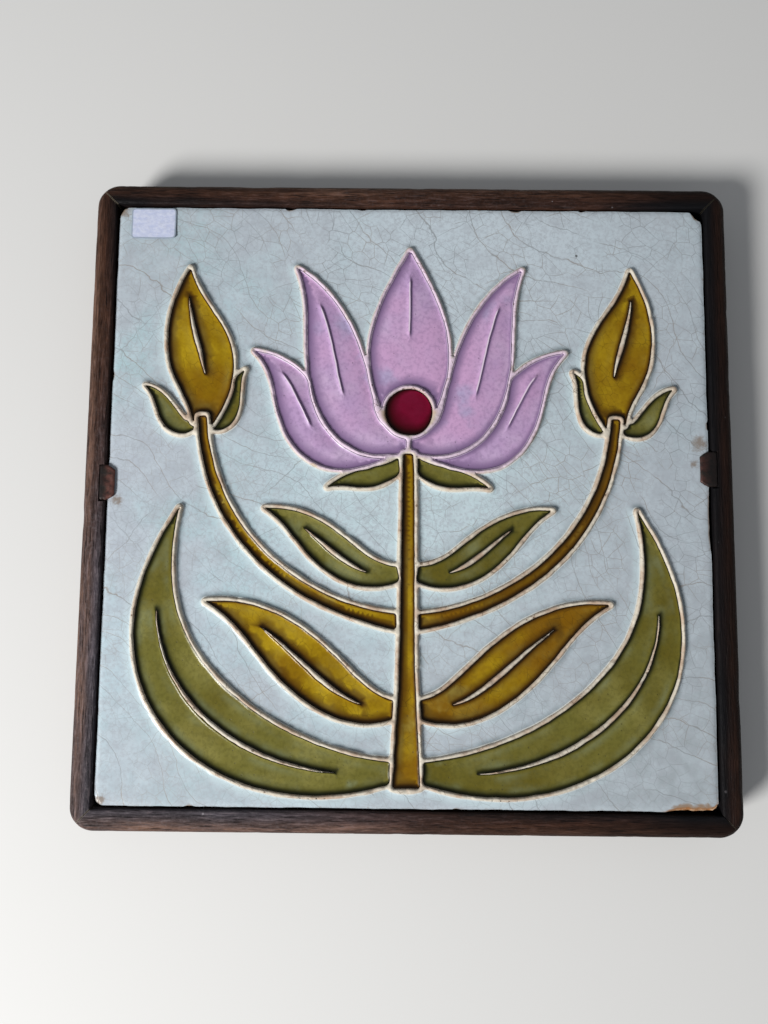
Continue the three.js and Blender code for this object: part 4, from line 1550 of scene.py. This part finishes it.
def glazeMaterial(kind):
    look = {"crackStrength": 0.0, "border": 0.0, "rimLight": 0.0, **glazeLooks[kind]}
    material, place = newMaterial("glaze_" + kind)
    edge, lean = marks(place, "edge", "lean")
    colour = mix(patches(place, 95.0, 0.38, 0.68), look["body"], look["light"])
    patchLow = look["patchLow"]
    rows = [(36.0, 0.42, 0.66, 1.0, "tint"), (60.0, patchLow, patchLow + 0.12, 0.8, "patch"),
            (1100.0, 0.42, 0.68, look["grain"], "deep")]
    colour = mottled(colour, place, look, rows)

    # darker bands along the shores where the glaze lies deep, widened into a painted shadow of the ridge on
    # the shores at a cell's lower left
    wide = (lean * look["leanMore"] + 1.0) * (noiseOf(place, 380.0, 2.0) * 0.4 + 0.8)
    near = edge / wide
    for name, reach, full in (("deep", look["deepReach"], 0.25), ("dark", look["darkReach"], 0.2)):
        colour = mix(remap(near, 2.3 * reach, full * reach), colour, look[name])

    if look["crackStrength"]:
        colour = mix(useGroup(crazing, place, **poolCracks) * look["crackStrength"], colour, look["dark"])
    if look["border"]:
        band = remap(edge, 3.2, 1.2) * remap(edge, 0.4, 1.4) * patches(place, 110.0, 0.4, 0.75)
        colour = mix(band * look["border"], colour, look["patch"])
    spots = specksOf(place, 700.0, 0.26, look["speckShare"])
    colour = mix(spots * 0.5, colour, look["speck"])
    colour = mix(specksOf(place, 130.0, 0.3, 0.08) * 0.7, colour, look["crest"])
    if look["rimLight"]:
        # painted shadow beside the veins on the side away from the lamp; the opaque glaze thins over the
        # vein crests, where it is nearly white; and a nearly white painted highlight along the shores that
        # face the lamp, where the glaze also thins over the ridges
        crest, veinShadow = marks(place, "crest", "veinShadow")
        colour = mix(veinShadow, colour, look["deep"])
        lit = remap(edge, 0.24, 0.04) * remap(lean, 0.3, -0.5) * look["rimLight"]
        colour = mix(larger(remap(crest, 0.6, 1.0, 0.0, look["rimLight"]), lit), colour, look["crest"])
    rough = patches(place, 300.0) * 0.08 + look["roughness"] + spots * 0.2
    height = noiseOf(place, 420.0, 2.0) - spots * 0.5
    return finished(material, colour, rough, height, 0.05, look["specular"])


# Dark-stained wood of the rails

woodLook = {
    "stain": (0.0075, 0.0042, 0.0036),
    "inky": (0.0052, 0.0052, 0.0064),
    "greyed": (0.13, 0.115, 0.14),
    "reddish": (0.105, 0.045, 0.028),
    "worn": (0.155, 0.072, 0.044),
    "wornGrey": (0.215, 0.145, 0.135),
    "warm": (0.25, 0.14, 0.10),
    "pore": (0.004, 0.003, 0.003),
    "pale": (0.17, 0.135, 0.14),
    "dust": (0.26, 0.24, 0.26),
    "glue": (0.36, 0.31, 0.23),
    "fibre": 900.0,
    "stretch": 0.07,
    # places painted lighter where the lamp's sheen falls on the rails, and one painted darker, with their
    # reach and amount
    "rubbedPlaces": [((-0.078, -0.078, 0.012), 0.10, 0.3), ((-0.078, -0.01, 0.012), 0.075, 0.3),
                     ((0.01, 0.078, 0.012), 0.07, 0.75), ((0.0, -0.078, 0.012), 0.07, 0.2),
                     ((0.045, -0.078, 0.012), 0.05, 0.16), ((-0.076, 0.076, 0.012), 0.04, -0.2)],
}


def woodMaterial():
    look = woodLook
    material, place = newMaterial("dark_stained_wood")
    grain = marks(place, "grain", out="Vector")[0]
    arris, mitre, inner = marks(place, "arris", "mitre", "inner")
    x, y = split(place)[:2]
    wood, coarse, fine = (
        useGroup(fibres, grain, Scale=finer * look["fibre"], Stretch=shorter * look["stretch"])
        for finer, shorter in ((1, 1), (0.45, 1), (2.2, 2)))
    # painted sheen: lighter towards the left and at the listed places, where the lamp's light falls on the
    # wood
    paintedSheen = remap(x, 0.085, -0.1, 0.02, 0.5)
    for spot, reach, amount in look["rubbedPlaces"]:
        paintedSheen += byDistance(place, spot, reach, 0.0, amount)
    drift = (noiseOf(place, 45.0, 2.0) - 0.5) * 0.5
    paintedSheen = calc("ADD", paintedSheen, drift, clamp=True)
    # wear at the arris and in bands and patches, with the painted sheen added and less towards the inner
    # edge
    rubbed = arris * 0.5 + coarse["Band"] * 0.25 + patches(grain, 30.0) * 0.25 + paintedSheen * 0.6 - inner * 0.3
    # 1 away from the lower-left corner, where the painted sheen greys the wood
    redder = remap(x + y * 0.8, -0.115, -0.04)

    # stain, rubbed through at the arris, with painted sheen that lightens it towards the left and at the
    # listed places and greys it near the lower-left corner; darker and bluer towards the inner edge
    stain = mix(inner, look["stain"], look["inky"])
    colour = mix(remap(rubbed, -0.1, 0.5), stain, mix(redder, look["greyed"], look["reddish"]))
    colour = mix(remap(rubbed, 0.3, 1.0), colour, mix(redder, look["wornGrey"], look["worn"]))
    colour = mix(inner * paintedSheen * remap(redder, 0.6, 0.1, 0.0, 0.9), colour, look["greyed"])
    colour = mix(remap(rubbed, 0.6, 1.4) * remap(coarse["Streak"], 0.75, 0.15), colour, look["warm"])
    for share, shade in ((coarse["Streak"] * 0.62, stain), (wood["Streak"] * 0.42, stain),
                         (wood["Pore"] * 0.75, look["pore"]), (fine["Streak"] * 0.6, look["pore"])):
        colour = mix(share, colour, shade)
    pale = remap(fine["Streak"], 0.3, 0.0) * (paintedSheen * remap(redder, 0.3, 1.0, 0.55, 0.2))
    colour = mix(pale, colour, look["pale"])

    # dust and flecks laid on where the painted sheen is, so partly painted sheen too; painted shade that
    # darkens the rails away from the sheen; and the glue that has come out of the mitres
    dusty = useGroup(settledDirt, place, Color=colour, Dirt=look["dust"], Scale=1600.0, Mask=0.42)
    colour = mix(paintedSheen * remap(redder, 0.3, 1.0, 0.3, 0.12), colour, dusty["Color"])
    colour = mix(remap(paintedSheen, 0.0, 0.5, 0.85, 0.0), colour, stain)
    flecks = specksOf(place, 330.0, 0.42, 0.2) * remap(paintedSheen, 0.0, 0.8, 0.2, 0.8)
    colour = mix(flecks, colour, look["dust"])
    glue = remap(mitre, 0.16, 0.06) * patches(place, 110.0, 0.42, 0.52)
    colour = mix(glue * remap(x, 0.03, -0.05, 0.15, 0.55), colour, look["glue"])
    height = wood["Streak"] - wood["Pore"] + fine["Streak"] * 0.6
    return finished(material, colour, wood["Streak"] * 0.2 + 0.46, height, 0.1, 0.08)


# Patinated copper of the clips

copperLook = {
    "brown": (0.125, 0.05, 0.04),
    "dark": (0.02, 0.014, 0.013),
    "green": (0.045, 0.05, 0.042),
    "bright": (0.5, 0.3, 0.25),
    "tarnish": (0.008, 0.007, 0.007),
}


def copperMaterial():
    look = copperLook
    material, place = newMaterial("patinated_copper")
    colour = mix(patches(place, 620.0, 0.4, 0.7), look["brown"], look["dark"])
    colour = mottled(colour, place, look, [(330.0, 0.5, 0.66, 0.6, "green")])
    scratches = useGroup(fibres, place, Scale=1700.0, Stretch=0.4)["Pore"]
    rubbed = marks(place, "edge")[0] * patches(place, 420.0, 0.55, 0.66)
    shine = larger(rubbed, scratches * 0.1)
    colour = mix(shine, colour, look["bright"])
    # black tarnish where the metal goes into the rail, and painted shade that blackens more of the right
    # clip
    x = split(place)[0]
    inRail = remap(calc("ABSOLUTE", x), 0.0743, 0.0762, 0.0, 0.9)
    other = remap(x, 0.0715, 0.0755, 0.45, 0.95) * calc("GREATER_THAN", x, 0.0)
    colour = mix(larger(inRail, other), colour, look["tarnish"])
    rough, metallic = remap(shine, 0.0, 1.0, 0.5, 0.3), remap(shine, 0.0, 1.0, 0.3, 0.9)
    return finished(material, colour, rough, noiseOf(place, 1300.0, 4.0), 0.06, 0.3, metallic)


# Steel brads, board, card and label

plainLooks = {
    "wire_steel": {
        "first": (0.33, 0.31, 0.29), "second": (0.16, 0.10, 0.07), "scale": 700.0, "low": 0.5, "high": 0.62,
        "fibre": 2500.0, "stretch": 1.0, "metallic": 0.8, "rough": 0.45, "bump": 0.03,
    },
    "brown_hardboard": {
        "first": (0.20, 0.13, 0.08), "second": (0.12, 0.075, 0.045), "scale": 70.0, "low": 0.35,
        "high": 0.65, "fibre": 700.0, "stretch": 0.35, "metallic": 0.0, "rough": 0.8, "bump": 0.1,
    },
    "grey_card": {
        "first": (0.30, 0.26, 0.20), "second": (0.22, 0.18, 0.13), "scale": 120.0, "low": 0.4, "high": 0.6,
        "fibre": 1200.0, "stretch": 0.4, "metallic": 0.0, "rough": 0.9, "bump": 0.08,
    },
}


def plainMaterial(name):
    look = plainLooks[name]
    material, place = newMaterial(name)
    shade = patches(place, look["scale"], look["low"], look["high"])
    strands = useGroup(fibres, place, Scale=look["fibre"], Stretch=look["stretch"])
    colour = mix(shade, look["first"], look["second"])
    colour = mix(strands["Streak"] * 0.4, colour, look["second"])
    colour = mix(strands["Pore"] * 0.3, colour, look["first"])
    rough = strands["Band"] * 0.12 + look["rough"]
    return finished(material, colour, rough, strands["Streak"], look["bump"], metallic=look["metallic"])


paperLook = {
    "paper": (0.50, 0.55, 0.75),
    "pale": (0.62, 0.66, 0.81),
    "line": (0.25, 0.31, 0.38),
    "dust": (0.35, 0.35, 0.4),
}


def paperMaterial():
    look = paperLook
    material, place = newMaterial("label_paper")
    streak = useGroup(fibres, place, Scale=1500.0, Stretch=0.6)["Streak"]
    colour = mix(streak, look["paper"], look["pale"])
    colour = mix(remap(marks(place, "edge")[0], 0.45, 0.2) * 0.8, colour, look["line"])
    dusty = useGroup(settledDirt, place, Color=colour, Dirt=look["dust"], Scale=600.0, Mask=0.4)
    colour = mix(0.3, colour, dusty["Color"])
    return finished(material, colour, remap(streak, 0.0, 1.0, 0.6, 0.75), streak, 0.02, 0.25)


finishes = {
    "ground": groundMaterial(),
    "clay": clayMaterial(),
    "wood": woodMaterial(),
    "copper": copperMaterial(),
    "steel": plainMaterial("wire_steel"),
    "board": plainMaterial("brown_hardboard"),
    "card": plainMaterial("grey_card"),
    "paper": paperMaterial(),
    **{kind: glazeMaterial(kind) for kind in glazeLooks},
}
print("finishes are made")


# Everything in its place

def dress(piece, finish, slot, *nodes):
    piece.data.materials.append(finishes[finish])
    standFor(piece, slot, *nodes)


dress(tileBodyPiece, "clay", "clay", "tile_body")
dress(groundPiece, "ground", "glaze_blue", "ground_glaze")
for name, piece in pools.items():
    kind = glazeKind(name)
    dress(piece, kind, "glaze_" + kind, name)

railNodes = railTree()
profileObject = railProfile()
for quarter, side in enumerate(("top", "left", "bottom", "right")):
    carrier = bpy.data.meshes.new("rail_" + side + "_carrier")
    turn = quarter * math.pi / 2
    lengths = {"Outer": "outer", "Height": "top", "Radius": "cornerRadius", "Gap": "gap", "Wear": "wear"}
    values = {
        **{label: railShape[key] * mm for label, key in lengths.items()},
        "Width": (railShape["outer"] - railShape["inner"]) * mm, "Rows": railShape["rows"],
        "Profile": profileObject,
        "Turn": turn, "Seed": 1.7 + 2.3 * quarter, "Material": finishes["wood"], **notchFor(side, turn),
    }
    standFor(runTree(railNodes, "rail_" + side, carrier, values), "dark_wood", "rail_" + side)
bpy.data.objects.remove(profileObject)
print("rails are swept")

bradNodes = bradTree()
for seed, (name, shape) in enumerate(bradShapes.items()):
    addBrads(bradNodes, name, shape, finishes["steel"], 5 + seed)
for side, sideX in (("left", -1), ("right", 1)):
    dress(clipPiece("clip_" + side, sideX, 3 + sideX), "copper", "copper", "clip_" + side)
dress(labelPiece(), "paper", "label", "paper_label")
dress(easedCopy("base_board", 0.25), "board", "board", "base_board")
dress(easedCopy("packing_card", 0.1), "card", "card", "packing_card")
print("clips, brads, label, board and card are in")
